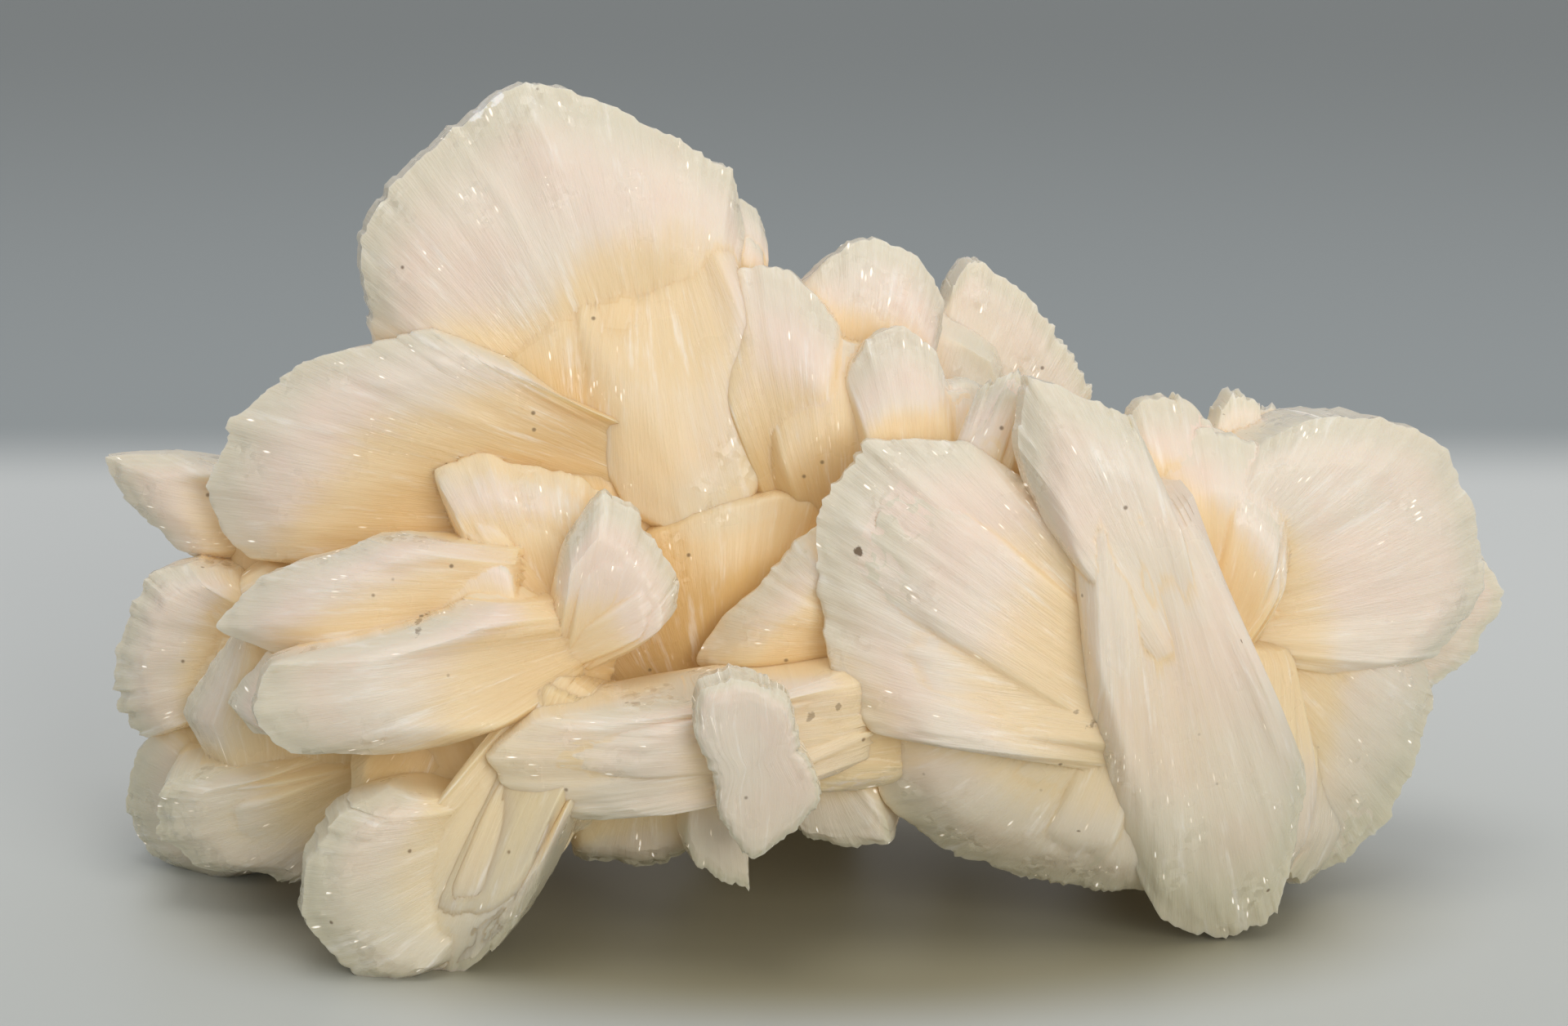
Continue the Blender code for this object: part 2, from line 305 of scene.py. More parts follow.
class CrystalMaker:
    """Models one crystal: a sheet is added, thickened by extrusion and grown to the crystal's shape."""

    SIDE_STEPS = 4
    CORNER_TRIM = 0.03
    ROOT_REACH = 0.66
    DIVE_CURVE = 1.8
    FACETS = 7
    THINNEST = 0.16

    def __init__(self, crystal: Crystal, fineness: Fineness, seed: int) -> None:
        """Reads the crystal's sizes.

        Args:
            crystal: The crystal to model.
            fineness: How densely it is meshed.
            seed: Number that picks its random details.
        """
        self.crystal = crystal
        self.growth = crystal.habit.value
        self.grain = Grain(seed)
        self.fineness = fineness
        start, end = crystal.sweep
        steps = len(crystal.reach) - 1
        angles = np.radians(start + (end - start) * np.arange(steps + 1) / steps)
        reach = np.array(crystal.reach, dtype=float)
        self.rim = np.column_stack((np.cos(angles), np.sin(angles))) * reach[:, None]
        self.length = float(reach.max())
        ends = np.vstack((self.rim, self.rim[:1])) if crystal.is_full else self.rim
        self.rim_length = float(np.linalg.norm(np.diff(ends, axis=0), axis=1).sum())
        columns = int(self.rim_length / fineness.spacing)
        if crystal.is_full:
            columns = int(columns / 3)
        self.columns = min(max(columns, fineness.least), fineness.most)
        self.rows = self.columns if crystal.is_full else fineness.rows

    def sheet(self) -> bpy.types.Object:
        """Adds a flat sheet and extrudes it to a closed slab of unit size.

        Returns:
            The slab, whose X, Y and Z run across the fan, from root to rim and from front to back.
        """
        bpy.ops.object.select_all(action="DESELECT")
        bpy.ops.mesh.primitive_grid_add(
            x_subdivisions=self.columns, y_subdivisions=self.rows, size=1.0, location=(0.5, 0.5, 0.0)
        )
        slab = bpy.context.object
        bpy.ops.object.mode_set(mode="EDIT")
        bpy.ops.mesh.select_all(action="SELECT")
        step = (0.0, 0.0, 1.0 / self.SIDE_STEPS)
        for _ in range(self.SIDE_STEPS):
            bpy.ops.mesh.extrude_region_move(TRANSFORM_OT_translate={"value": step})
        bpy.ops.object.mode_set(mode="OBJECT")
        bpy.ops.object.transform_apply(location=True, rotation=False, scale=False)
        slab.name = slab.data.name = self.crystal.name
        return slab

    def fan_plan(self, u: np.ndarray, v: np.ndarray, push: np.ndarray) -> np.ndarray:
        """Lays the sheet out as a fan, in the plate's plane.

        Args:
            u: Share of the way across the fan.
            v: Share of the way from root to rim.
            push: How far each line of growth runs past the rim, in mm.

        Returns:
            X and Z of each point, in mm.
        """
        crystal = self.crystal
        middle = math.radians(sum(crystal.sweep) / 2)
        aim = np.array((math.cos(middle), math.sin(middle)))
        side = np.array((-aim[1], aim[0])) * math.copysign(1.0, crystal.sweep[1] - crystal.sweep[0])
        waist = max(WAIST_LEAST, WAIST_SHARE * self.length) / 2
        root = (2 * u - 1)[:, None] * side * waist - aim * waist
        rim = smooth_curve(self.rim, u, closed=False)
        rim = rim * (1 - self.CORNER_TRIM * np.abs(2 * u - 1)[:, None] ** 6)
        out = rim - root
        out /= np.linalg.norm(out, axis=1)[:, None]
        return root + (rim - root) * v[:, None] + out * (push * v**4)[:, None]

    def disc_plan(self, u: np.ndarray, v: np.ndarray, push: np.ndarray) -> tuple[np.ndarray, np.ndarray]:
        """Lays the sheet out all round the hub, in the plate's plane.

        Args:
            u: Share of the way across the sheet.
            v: Share of the way up the sheet.
            push: How far each line of growth runs past the rim, in mm.

        Returns:
            X and Z of each point in mm, and its share of the way from hub to rim.
        """
        a, b = 2 * u - 1, 2 * v - 1
        x, z = a * np.sqrt(1 - b * b / 2), b * np.sqrt(1 - a * a / 2)
        out = np.sqrt(x * x + z * z)
        span = self.crystal.sweep[1] - self.crystal.sweep[0]
        turn = (np.degrees(np.arctan2(z, x)) + self.crystal.lay - self.crystal.sweep[0]) % 360.0
        steps = len(self.crystal.reach) - 1
        share = np.where(turn <= span, turn / span * steps, steps + (turn - span) / (360.0 - span))
        rim = smooth_curve(self.rim, share / (steps + 1), closed=True)
        reach = np.linalg.norm(rim, axis=1)
        away = rim / reach[:, None]
        return rim * out[:, None] + away * (push * reach / self.length * out**4)[:, None], out

    def blades(self, across: np.ndarray, count: int) -> tuple[np.ndarray, np.ndarray]:
        """Splits the crystal into sub-blades side by side.

        Args:
            across: Share of the way across the crystal.
            count: How many sub-blades there are.

        Returns:
            The number of the blade that each point is on, and the share of the way across that blade.
        """
        widths = self.grain.random.uniform(0.35, 1.65, count)
        edges = np.concatenate(((0.0,), np.cumsum(widths) / widths.sum()))
        index = np.clip(np.searchsorted(edges, across, side="right") - 1, 0, count - 1)
        return index, (across - edges[index]) / (edges[index + 1] - edges[index])

    def relief(self, u: np.ndarray, v: np.ndarray, out: np.ndarray, side: int) -> np.ndarray:
        """Height of the face's fine forms.

        Args:
            u: Share of the way across the crystal.
            v: Share of the way up the crystal; not used.
            out: Share of the way from root to rim.
            side: 0 for the front face and 1 for the back face.

        Returns:
            Height of each point above the plain face, in mm.
        """
        growth, grain = self.growth, self.grain
        shift = 17.3 * side
        across, along = u * self.rim_length, out * self.length
        bent = np.clip(u + 0.012 * grain.waves(u * 3 + shift, along * 0.15), 0.0, 1.0)
        height = growth.swell * grain.waves(across * 0.10 + shift, along * 0.10 + shift)
        height += 0.35 * growth.swell * grain.waves(across * 0.31, along * 0.21 + shift)
        for share, width in ((1.0, growth.blade * 2.3), (0.55, growth.blade)):
            index, place = self.blades(bent, max(3, int(self.rim_length / width)))
            step = grain.random.uniform(-1.0, 1.0, index.max() + 1)[index]
            lean = grain.random.uniform(-1.0, 1.0, index.max() + 1)[index]
            height += share * growth.relief * (0.6 * step + lean * (place - 0.5)) * out**1.5
        lines = grain.waves(across * 2.1, along * 0.10 + shift) + 0.6 * grain.waves(across * 4.3, along * 0.2)
        height += growth.striation * lines * out
        index, place = self.blades(bent, max(3, int(self.rim_length / (growth.blade * 0.8))))
        for level in (0.80, 0.90, 0.96):
            stop = level + grain.random.uniform(-0.03, 0.03, index.max() + 1)[index]
            stop += 0.03 * grain.waves(across * 0.4, across * 0.0 + level * 40 + shift)
            height -= growth.terrace * smoothstep(-0.006, 0.006, out - stop)
        return height

    def facets(self, plan: np.ndarray) -> np.ndarray:
        """Height of a few flat growth faces that meet along soft ridges.

        Args:
            plan: X and Z of each point in the plate's plane, in mm.

        Returns:
            Height of each point above the plain face, in mm.
        """
        random = self.grain.random
        places = (plan - plan.mean(axis=0)) / self.length
        angles = random.uniform(0.0, 2 * np.pi, self.FACETS)
        steep = self.growth.facet * random.uniform(0.3, 1.0, self.FACETS) * self.length
        starts = self.growth.facet * random.uniform(-1.0, 1.0, self.FACETS) * 2.0
        planes = places[:, :1] * (np.cos(angles) * steep) + places[:, 1:] * (np.sin(angles) * steep) + starts
        softness = 5.0
        return -np.log(np.exp(planes * softness).sum(axis=1)) / softness + np.log(self.FACETS) / softness

    def tips(self, u: np.ndarray) -> np.ndarray:
        """How far each line of growth runs past the rim.

        Args:
            u: Share of the way round the rim.

        Returns:
            Length past the rim, in mm.
        """
        growth, grain = self.growth, self.grain
        push = 0.5 * growth.ragged * grain.waves(u * self.rim_length * 0.22, u * 0.0 + 5.5)
        for share, width in ((0.55, growth.blade), (0.35, growth.blade * 0.35)):
            index, place = self.blades(u, max(3, int(self.rim_length / width)))
            step = grain.random.uniform(-1.0, 0.6, index.max() + 1)[index]
            lean = grain.random.uniform(-0.8, 0.8, index.max() + 1)[index]
            push += share * growth.ragged * (step + lean * (place - 0.5))
        return push

    def layers(self, u: np.ndarray, depth: np.ndarray) -> np.ndarray:
        """How far each layer of the crystal's thickness runs past the rim.

        Args:
            u: Share of the way round the rim.
            depth: From -1 at the front face to 1 at the back face.

        Returns:
            Length past the rim, in mm.
        """
        wavy = self.grain.waves(u * self.rim_length * 0.5, depth * 9.0 + 20.0)
        return self.growth.ragged * 0.6 * wavy * (np.abs(depth) < 1)

    def fall(self, out: np.ndarray) -> np.ndarray:
        """How far a face falls from its middle to its rim: a low dome, a shoulder and a bevel.

        Args:
            out: Share of the way from the middle to the rim.

        Returns:
            Height lost, in mm.
        """
        growth = self.growth
        return growth.dome * out**2 + growth.bevel * self.near_rim(out) ** 1.15

    def near_rim(self, out: np.ndarray) -> np.ndarray:
        """Share of the way down the bevel, from 0 at the shoulder to 1 at the rim."""
        return np.clip((out - self.growth.shoulder) / (1 - self.growth.shoulder), 0.0, 1.0)

    def grow(self, slab: bpy.types.Object) -> np.ndarray:
        """Moves the slab's points to the crystal's shape and marks how it grew.

        Args:
            slab: Closed slab of unit size.

        Returns:
            Points that fill the crystal, in mm.
        """
        crystal, growth = self.crystal, self.growth
        mesh = slab.data
        raw = np.empty(len(mesh.vertices) * 3, dtype=np.float32)
        mesh.vertices.foreach_get("co", raw)
        raw = raw.reshape(-1, 3).astype(float)
        u, v, depth = raw[:, 0], raw[:, 1], 2 * raw[:, 2] - 1
        u = np.clip(0.45 * u + 0.55 * (0.5 - 0.5 * np.cos(np.pi * u)), 0.0, 1.0)
        if crystal.is_full:
            v = np.clip(0.45 * v + 0.55 * (0.5 - 0.5 * np.cos(np.pi * v)), 0.0, 1.0)
            plan, out = self.disc_plan(u, v, np.zeros_like(u))
            around = (np.arctan2(plan[:, 1], plan[:, 0]) / (2 * np.pi)) % 1.0
            push = self.tips(around) + self.layers(around, depth)
            plan, out = self.disc_plan(u, v, push)
            fall, rim = self.fall(out), self.near_rim(out)
        else:
            v = 1 - (1 - np.clip(v, 0.0, 1.0)) ** 1.55
            out = v
            plan = self.fan_plan(u, v, self.tips(u) + self.layers(u, depth))
            across = np.abs(2 * u - 1)
            fall = self.fall(v) + self.fall(across)
            rim = np.maximum(self.near_rim(v), self.near_rim(across))
        lift = np.where(depth < 0, self.relief(u, v, out, 0), self.relief(u, v, out, 1))
        lift += np.where(depth < 0, self.facets(plan), self.facets(plan))
        lift *= min(1.0, crystal.thick / 8)
        half = np.maximum(crystal.thick / 2 - fall * min(1.0, crystal.thick / 9), self.THINNEST * crystal.thick)
        root = 0.0 if crystal.is_full else 1 - smoothstep(0.0, self.ROOT_REACH, v)
        half = half * (1 - (1 - growth.root) * root)
        sunk = 0.0 if crystal.is_full else (1 - v) ** self.DIVE_CURVE
        y = depth * (half + lift) + (growth.dive + crystal.sink) * sunk
        local = np.column_stack((plan[:, 0], y, plan[:, 1]))
        matrix = np.array(crystal.matrix())
        world = local @ matrix[:3, :3].T + matrix[:3, 3]
        mesh.vertices.foreach_set("co", (world * MM).astype(np.float32).ravel())
        marks = (("growth", out), ("rim", rim), ("tint", np.full(len(u), crystal.tint)))
        for name, values in marks:
            mark = mesh.attributes.new(name, "FLOAT", "POINT")
            mark.data.foreach_set("value", values.astype(np.float32))
        corners = np.empty(len(mesh.loops), dtype=np.int32)
        mesh.loops.foreach_get("vertex_index", corners)
        lanes = np.column_stack((u * self.rim_length, out * self.length))[corners]
        while mesh.uv_layers:
            mesh.uv_layers.remove(mesh.uv_layers[0])
        mesh.uv_layers.new(name="lanes").data.foreach_set("uv", lanes.astype(np.float32).ravel())
        mesh.update()
        self.turn_outward(slab)
        return self.filling(local[depth != 0], matrix)

    @staticmethod
    def turn_outward(slab: bpy.types.Object) -> None:
        """Makes the faces point outwards.

        Args:
            slab: The closed shape to turn.
        """
        bpy.ops.object.select_all(action="DESELECT")
        slab.select_set(True)
        bpy.context.view_layer.objects.active = slab
        bpy.ops.object.mode_set(mode="EDIT")
        bpy.ops.mesh.select_all(action="SELECT")
        bpy.ops.mesh.normals_make_consistent(inside=False)
        bpy.ops.object.mode_set(mode="OBJECT")

    @staticmethod
    def filling(local: np.ndarray, matrix: np.ndarray) -> np.ndarray:
        """Spreads points through the crystal's thickness.

        Args:
            local: Points of both faces in the plate's own place, in mm.
            matrix: Place of the plate.

        Returns:
            Points throughout the crystal, in mm.
        """
        layers = []
        for share in np.linspace(-1.0, 1.0, 13):
            layer = local.copy()
            layer[:, 1] *= share
            layers.append(layer)
        return np.vstack(layers) @ matrix[:3, :3].T + matrix[:3, 3]

    def make(self) -> tuple[bpy.types.Object, np.ndarray]:
        """Models the crystal.

        Returns:
            The closed crystal, and points that fill it.
        """
        slab = self.sheet()
        return slab, self.grow(slab)


class StoneField:
    """Knows how much stone lies around any point, for the amber of roots and the painted warm shade and glow of
    recesses.
    """

    CELL = 1.2
    MARGIN = 24.0
    NEAR = 2.2
    WIDE = 3.0
    DEEP = 8.0

    def __init__(self) -> None:
        """Starts with no stone."""
        lowest, highest = (np.array(corner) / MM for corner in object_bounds())
        self.low = lowest - self.MARGIN
        self.shape = tuple(np.ceil((highest + self.MARGIN - self.low) / self.CELL).astype(int))
        self.filled = np.zeros(self.shape, dtype=bool)
        self.levels: dict[str, np.ndarray] = {}

    def add(self, points: np.ndarray) -> None:
        """Marks the cells that hold points as stone.

        Args:
            points: Points inside the stone, in mm.
        """
        cells = np.floor((points - self.low) / self.CELL).astype(int)
        cells = np.clip(cells, 0, np.array(self.shape) - 1)
        self.filled[cells[:, 0], cells[:, 1], cells[:, 2]] = True

    def spread(self, name: str, radius: float) -> None:
        """Blurs the stone into a share of stone nearby.

        Args:
            name: What the result is called.
            radius: How far nearby reaches, in mm.
        """
        total = np.fft.rfftn(self.filled.astype(float))
        parts = [np.fft.fftfreq(n, self.CELL) for n in self.shape[:2]]
        parts.append(np.fft.rfftfreq(self.shape[2], self.CELL))
        for axis, part in enumerate(parts):
            blur = np.exp(-2 * (np.pi * radius * part) ** 2)
            total *= blur.reshape([-1 if k == axis else 1 for k in range(3)])
        self.levels[name] = np.fft.irfftn(total, self.shape)
        if name == "wide":
            for axis, slope in zip("xyz", np.gradient(self.levels[name])):
                self.levels[f"slope_{axis}"] = slope

    def slope(self, points: np.ndarray) -> np.ndarray:
        """Direction from the stone to the open.

        Args:
            points: Where to read it, in mm.

        Returns:
            One unit vector for each point.
        """
        away = np.column_stack([-self.around(f"slope_{axis}", points) for axis in "xyz"])
        return away / np.maximum(np.linalg.norm(away, axis=1), 1e-6)[:, None]

    def around(self, name: str, points: np.ndarray) -> np.ndarray:
        """Share of stone around points.

        Args:
            name: Which blur to read.
            points: Where to read it, in mm.

        Returns:
            Shares from 0 in the open to 1 deep inside.
        """
        grid = self.levels[name]
        at = (points - self.low) / self.CELL - 0.5
        base = np.clip(np.floor(at).astype(int), 0, np.array(self.shape) - 2)
        part = at - base
        share = np.zeros(len(points))
        for corner in range(8):
            offset = np.array(((corner >> 2) & 1, (corner >> 1) & 1, corner & 1))
            weight = np.prod(np.where(offset, part, 1 - part), axis=1)
            i, j, k = (base + offset).T
            share += weight * grid[i, j, k]
        return share


class Wiring:
    """Adds shader nodes to a material and joins them."""

    def __init__(self, material: bpy.types.Material) -> None:
        """Starts from an empty node tree.

        Args:
            material: The material to build.
        """
        material.use_nodes = True
        self.tree = material.node_tree
        self.tree.nodes.clear()

    def add(self, kind: str, **settings: object) -> bpy.types.Node:
        """Adds one node.

        Args:
            kind: Blender's name of the node.
            settings: Values of its properties.

        Returns:
            The new node.
        """
        node = self.tree.nodes.new(kind)
        for name, value in settings.items():
            setattr(node, name, value)
        return node

    def join(self, source: object, target: bpy.types.NodeSocket) -> None:
        """Gives a socket its link or its value.

        Args:
            source: A socket to link from, or a plain value.
            target: The socket that takes it.
        """
        if isinstance(source, bpy.types.NodeSocket):
            self.tree.links.new(source, target)
        else:
            target.default_value = source

    def mark(self, name: str) -> bpy.types.NodeSocket:
        """Reads one of the piece's own attributes."""
        return self.add("ShaderNodeAttribute", attribute_name=name).outputs["Fac"]

    def math(self, operation: str, *inputs: object, clamp: bool = False) -> bpy.types.NodeSocket:
        """Combines numbers.

        Args:
            operation: Blender's name of the sum.
            inputs: Sockets or numbers.
            clamp: Whether the result stays between 0 and 1.

        Returns:
            The result's socket.
        """
        node = self.add("ShaderNodeMath", operation=operation, use_clamp=clamp)
        for source, target in zip(inputs, node.inputs):
            self.join(source, target)
        return node.outputs[0]

    def ease(
        self, value: object, low: float, high: float, start: float = 0.0, end: float = 1.0
    ) -> bpy.types.NodeSocket:
        """Eases a number from one range to another.

        Args:
            value: The number's socket.
            low: Number that gives start.
            high: Number that gives end.
            start: Result at low and below.
            end: Result at high and above.

        Returns:
            The result's socket.
        """
        node = self.add("ShaderNodeMapRange", interpolation_type="SMOOTHSTEP")
        for source, target in zip((value, low, high, start, end), node.inputs):
            self.join(source, target)
        return node.outputs[0]

    def mix(self, share: object, first: object, second: object) -> bpy.types.NodeSocket:
        """Mixes two colours.

        Args:
            share: How much of the second colour shows.
            first: Socket or colour.
            second: Socket or colour.

        Returns:
            The mixed colour's socket.
        """
        node = self.add("ShaderNodeMix", data_type="RGBA")
        self.join(share, node.inputs["Factor"])
        self.join(first, node.inputs[6])
        self.join(second, node.inputs[7])
        return node.outputs[2]

    def stretch(self, vector: bpy.types.NodeSocket, scale: tuple[float, float, float]) -> bpy.types.NodeSocket:
        """Scales coordinates.

        Args:
            vector: The coordinates.
            scale: Factor along each axis.

        Returns:
            The scaled coordinates.
        """
        node = self.add("ShaderNodeMapping")
        self.join(vector, node.inputs["Vector"])
        node.inputs["Scale"].default_value = scale
        return node.outputs[0]

    def noise(
        self, vector: bpy.types.NodeSocket, scale: float, detail: float = 2.0, rough: float = 0.5
    ) -> bpy.types.NodeSocket:
        """Soft noise.

        Args:
            vector: Coordinates to read it at.
            scale: Waves to each unit.
            detail: How many finer layers it has.
            rough: How strong each finer layer is.

        Returns:
            Noise from 0 to 1.
        """
        node = self.add("ShaderNodeTexNoise")
        self.join(vector, node.inputs["Vector"])
        node.inputs["Scale"].default_value = scale
        node.inputs["Detail"].default_value = detail
        node.inputs["Roughness"].default_value = rough
        return node.outputs["Fac"]

    def cells(self, vector: bpy.types.NodeSocket, scale: float) -> bpy.types.Node:
        """Random cells.

        Args:
            vector: Coordinates to read them at.
            scale: Cells to each unit.

        Returns:
            The cell node, with its distance and colour.
        """
        node = self.add("ShaderNodeTexVoronoi")
        self.join(vector, node.inputs["Vector"])
        node.inputs["Scale"].default_value = scale
        return node


def colour(red: int, green: int, blue: int) -> tuple[float, float, float, float]:
    """Turns a screen colour into the linear values that shaders take.

    Args:
        red: Red from 0 to 255.
        green: Green from 0 to 255.
        blue: Blue from 0 to 255.

    Returns:
        Linear red, green, blue and full opacity.
    """
    parts = []
    for value in (red, green, blue):
        share = value / 255
        parts.append(share / 12.92 if share <= 0.04045 else ((share + 0.055) / 1.055) ** 2.4)
    return (*parts, 1.0)


@dataclass(frozen=True)
class Spot:
    """A small mark on the stone, dark with dirt, else white as a painted highlight.

    Attributes:
        centre: Its middle, in mm.
        radius: Its size, in mm.
        strength: How much it hides the stone.
        dark: Whether it is dirt rather than a painted highlight.
    """

    centre: tuple[float, float, float]
    radius: float
    strength: float
    dark: bool = True


SPOTS = (
    Spot((4.2, -21.3, 34.3), 0.65, 0.85),
    Spot((16.7, -20.5, 41.3), 0.45, 1.0),
    Spot((23.3, -26.1, 20.7), 0.6, 0.6),
    Spot((22.0, -26.0, 21.9), 0.4, 0.5),
    Spot((-33.9, -19.6, 27.4), 0.45, 0.6),
    Spot((-36.0, -19.0, 26.4), 0.35, 0.6),
    Spot((-31.6, -20.0, 28.6), 0.4, 0.6),
    Spot((0.3, -20.0, 21.6), 0.5, 0.5),
    Spot((2.6, -20.0, 22.2), 0.4, 0.5),
    # The last two spots are painted highlights at the notch in the crown's rim
    Spot((-27.8, 1.0, 67.2), 1.0, 0.8, False),
    Spot((-26.2, 1.0, 68.3), 0.8, 0.8, False),
)


@dataclass(frozen=True)
class StoneFinish:
    """Pearly, translucent stilbite: cream and pink bodies, amber roots and grey glassy rims, with painted light: warm
    shade and a faint glow in recesses, olive shade low down, rims painted darker as if the backdrop showed through,
    and painted glints and highlights.
    """

    name: str = "stilbite_stone"
    cream: tuple = colour(235, 222, 204)
    pink: tuple = colour(236, 216, 198)
    peach: tuple = colour(235, 210, 168)
    amber: tuple = colour(216, 179, 118)
    # Grey of the glassy rims: the clearer stone there, made darker as the backdrop painted as seen through them
    glassy: tuple = colour(219, 212, 189)
    # Olive of the painted shade low down
    olive_painted_shade: tuple = colour(186, 182, 148)
    # Warm colour of the painted glow in the recesses
    glow: tuple = colour(255, 214, 150)
    dirt: tuple = colour(96, 68, 34)
    # White of the stone's frosty veils, also used for the painted glints and the painted highlights at the notch
    frost_and_glint: tuple = colour(250, 246, 238)
    roughness: float = 0.30
    subsurface: float = 0.5
    scatter: tuple = (1.0, 0.84, 0.66)
    depth: float = 0.0018
    inner_light: float = 0.05
    sparkle: float = 0.45
    spots: tuple[Spot, ...] = SPOTS
    spot_depth: float = 0.12

    def material(self) -> bpy.types.Material:
        """Builds the stone.

        Returns:
            The material.
        """
        material = bpy.data.materials.new(self.name)
        # The faint glow is only seen, and not aimed at as a lamp, which keeps the render short and clean
        material.cycles.emission_sampling = "NONE"
        wiring = Wiring(material)
        place = wiring.add("ShaderNodeTexCoord").outputs["Object"]
        lanes = wiring.add("ShaderNodeUVMap", uv_map="lanes").outputs["UV"]
        growth, rim, tint = (wiring.mark(name) for name in ("growth", "rim", "tint"))
        cavity, core = wiring.mark("cavity"), wiring.mark("core")
        streaks = wiring.noise(wiring.stretch(lanes, (1.3, 0.06, 1.0)), 1.0, 3.0, 0.6)
        clouds = wiring.noise(place, 110.0, 3.0, 0.55)
        height = wiring.add("ShaderNodeSeparateXYZ")
        wiring.join(place, height.inputs[0])

        base = wiring.mix(wiring.ease(clouds, 0.35, 0.68), self.cream, self.pink)
        # Peach and amber rise in recesses (cavity) and deep in the stone (core): partly the amber the roots have,
        # partly painted warm shade where light scatters in the recesses; the tips grow paler
        warmth = wiring.math("ADD", wiring.math("MULTIPLY", cavity, 0.35), wiring.math("MULTIPLY", core, 0.42))
        warmth = wiring.math("ADD", warmth, wiring.math("MULTIPLY", tint, 0.5))
        warmth = wiring.math("ADD", warmth, wiring.math("MULTIPLY", wiring.math("SUBTRACT", streaks, 0.5), 0.35))
        warmth = wiring.math("SUBTRACT", warmth, wiring.ease(growth, 0.55, 1.0, 0.0, 0.22))
        warmth = wiring.math("ADD", warmth, wiring.ease(height.outputs["X"], 0.015, -0.025, 0.0, 0.10))
        base = wiring.mix(wiring.ease(warmth, 0.10, 0.62), base, self.peach)
        base = wiring.mix(wiring.ease(warmth, 0.55, 1.15), base, self.amber)
        # Glassy rims: the clearer stone at the rims, painted darker grey where the backdrop would show through them
        clear = wiring.math("MULTIPLY", wiring.ease(rim, 0.0, 0.9), wiring.ease(growth, 0.55, 0.95))
        clear = wiring.math("SUBTRACT", clear, wiring.math("MULTIPLY", cavity, 0.6), clamp=True)
        clear = wiring.math("ADD", clear, wiring.math("MULTIPLY", tint, -0.45), clamp=True)
        base = wiring.mix(wiring.math("MULTIPLY", clear, 0.75), base, self.glassy)
        # Painted shade: the stone turns darker and greener towards the bottom, as shade from the light above
        low = wiring.ease(height.outputs["Z"], 0.030, 0.004)
        base = wiring.mix(wiring.math("MULTIPLY", low, 0.42), base, self.olive_painted_shade)

        veils = wiring.noise(wiring.stretch(lanes, (0.5, 0.10, 1.0)), 1.0, 4.0, 0.65)
        base = wiring.mix(wiring.ease(veils, 0.54, 0.74, 0.0, 0.45), base, self.frost_and_glint)

        specks = wiring.cells(place, 620.0)
        parts = wiring.add("ShaderNodeSeparateColor")
        wiring.join(specks.outputs["Color"], parts.inputs[0])
        rare = wiring.math("GREATER_THAN", parts.outputs[0], wiring.ease(cavity, 0.4, 0.9, 0.965, 0.86))
        dot = wiring.ease(specks.outputs["Distance"], 0.16, 0.05)
        base = wiring.mix(wiring.math("MULTIPLY", rare, wiring.math("MULTIPLY", dot, 0.75)), base, self.dirt)

        grains = wiring.math("MULTIPLY", wiring.math("SUBTRACT", wiring.noise(place, 1100.0, 3.0, 0.6), 0.5), 2.2)
        for spot in self.spots:
            flat = wiring.stretch(place, (1000.0, 1000.0 * self.spot_depth, 1000.0))
            away = wiring.add("ShaderNodeVectorMath", operation="DISTANCE")
            wiring.join(flat, away.inputs[0])
            away.inputs[1].default_value = (spot.centre[0], spot.centre[1] * self.spot_depth, spot.centre[2])
            edge = wiring.math("ADD", wiring.math("DIVIDE", away.outputs["Value"], spot.radius), grains)
            # Dark spots take the dirt colour; the others are painted highlights in white
            shade = self.dirt if spot.dark else self.frost_and_glint
            base = wiring.mix(wiring.ease(edge, 1.0, 0.7, 0.0, spot.strength), base, shade)

        fine = wiring.noise(wiring.stretch(lanes, (4.5, 0.25, 1.0)), 1.0, 4.0, 0.65)
        grit = wiring.noise(place, 1500.0, 2.0, 0.5)
        bump = wiring.add("ShaderNodeBump")
        bump.inputs["Distance"].default_value = 0.00012
        bump.inputs["Strength"].default_value = 0.55
        ripple = wiring.noise(wiring.stretch(lanes, (0.9, 0.25, 1.0)), 1.0, 3.0, 0.6)
        relief = wiring.math("ADD", fine, wiring.math("MULTIPLY", grit, 0.25))
        relief = wiring.math("ADD", relief, wiring.math("MULTIPLY", ripple, 1.6))
        wiring.join(relief, bump.inputs["Height"])
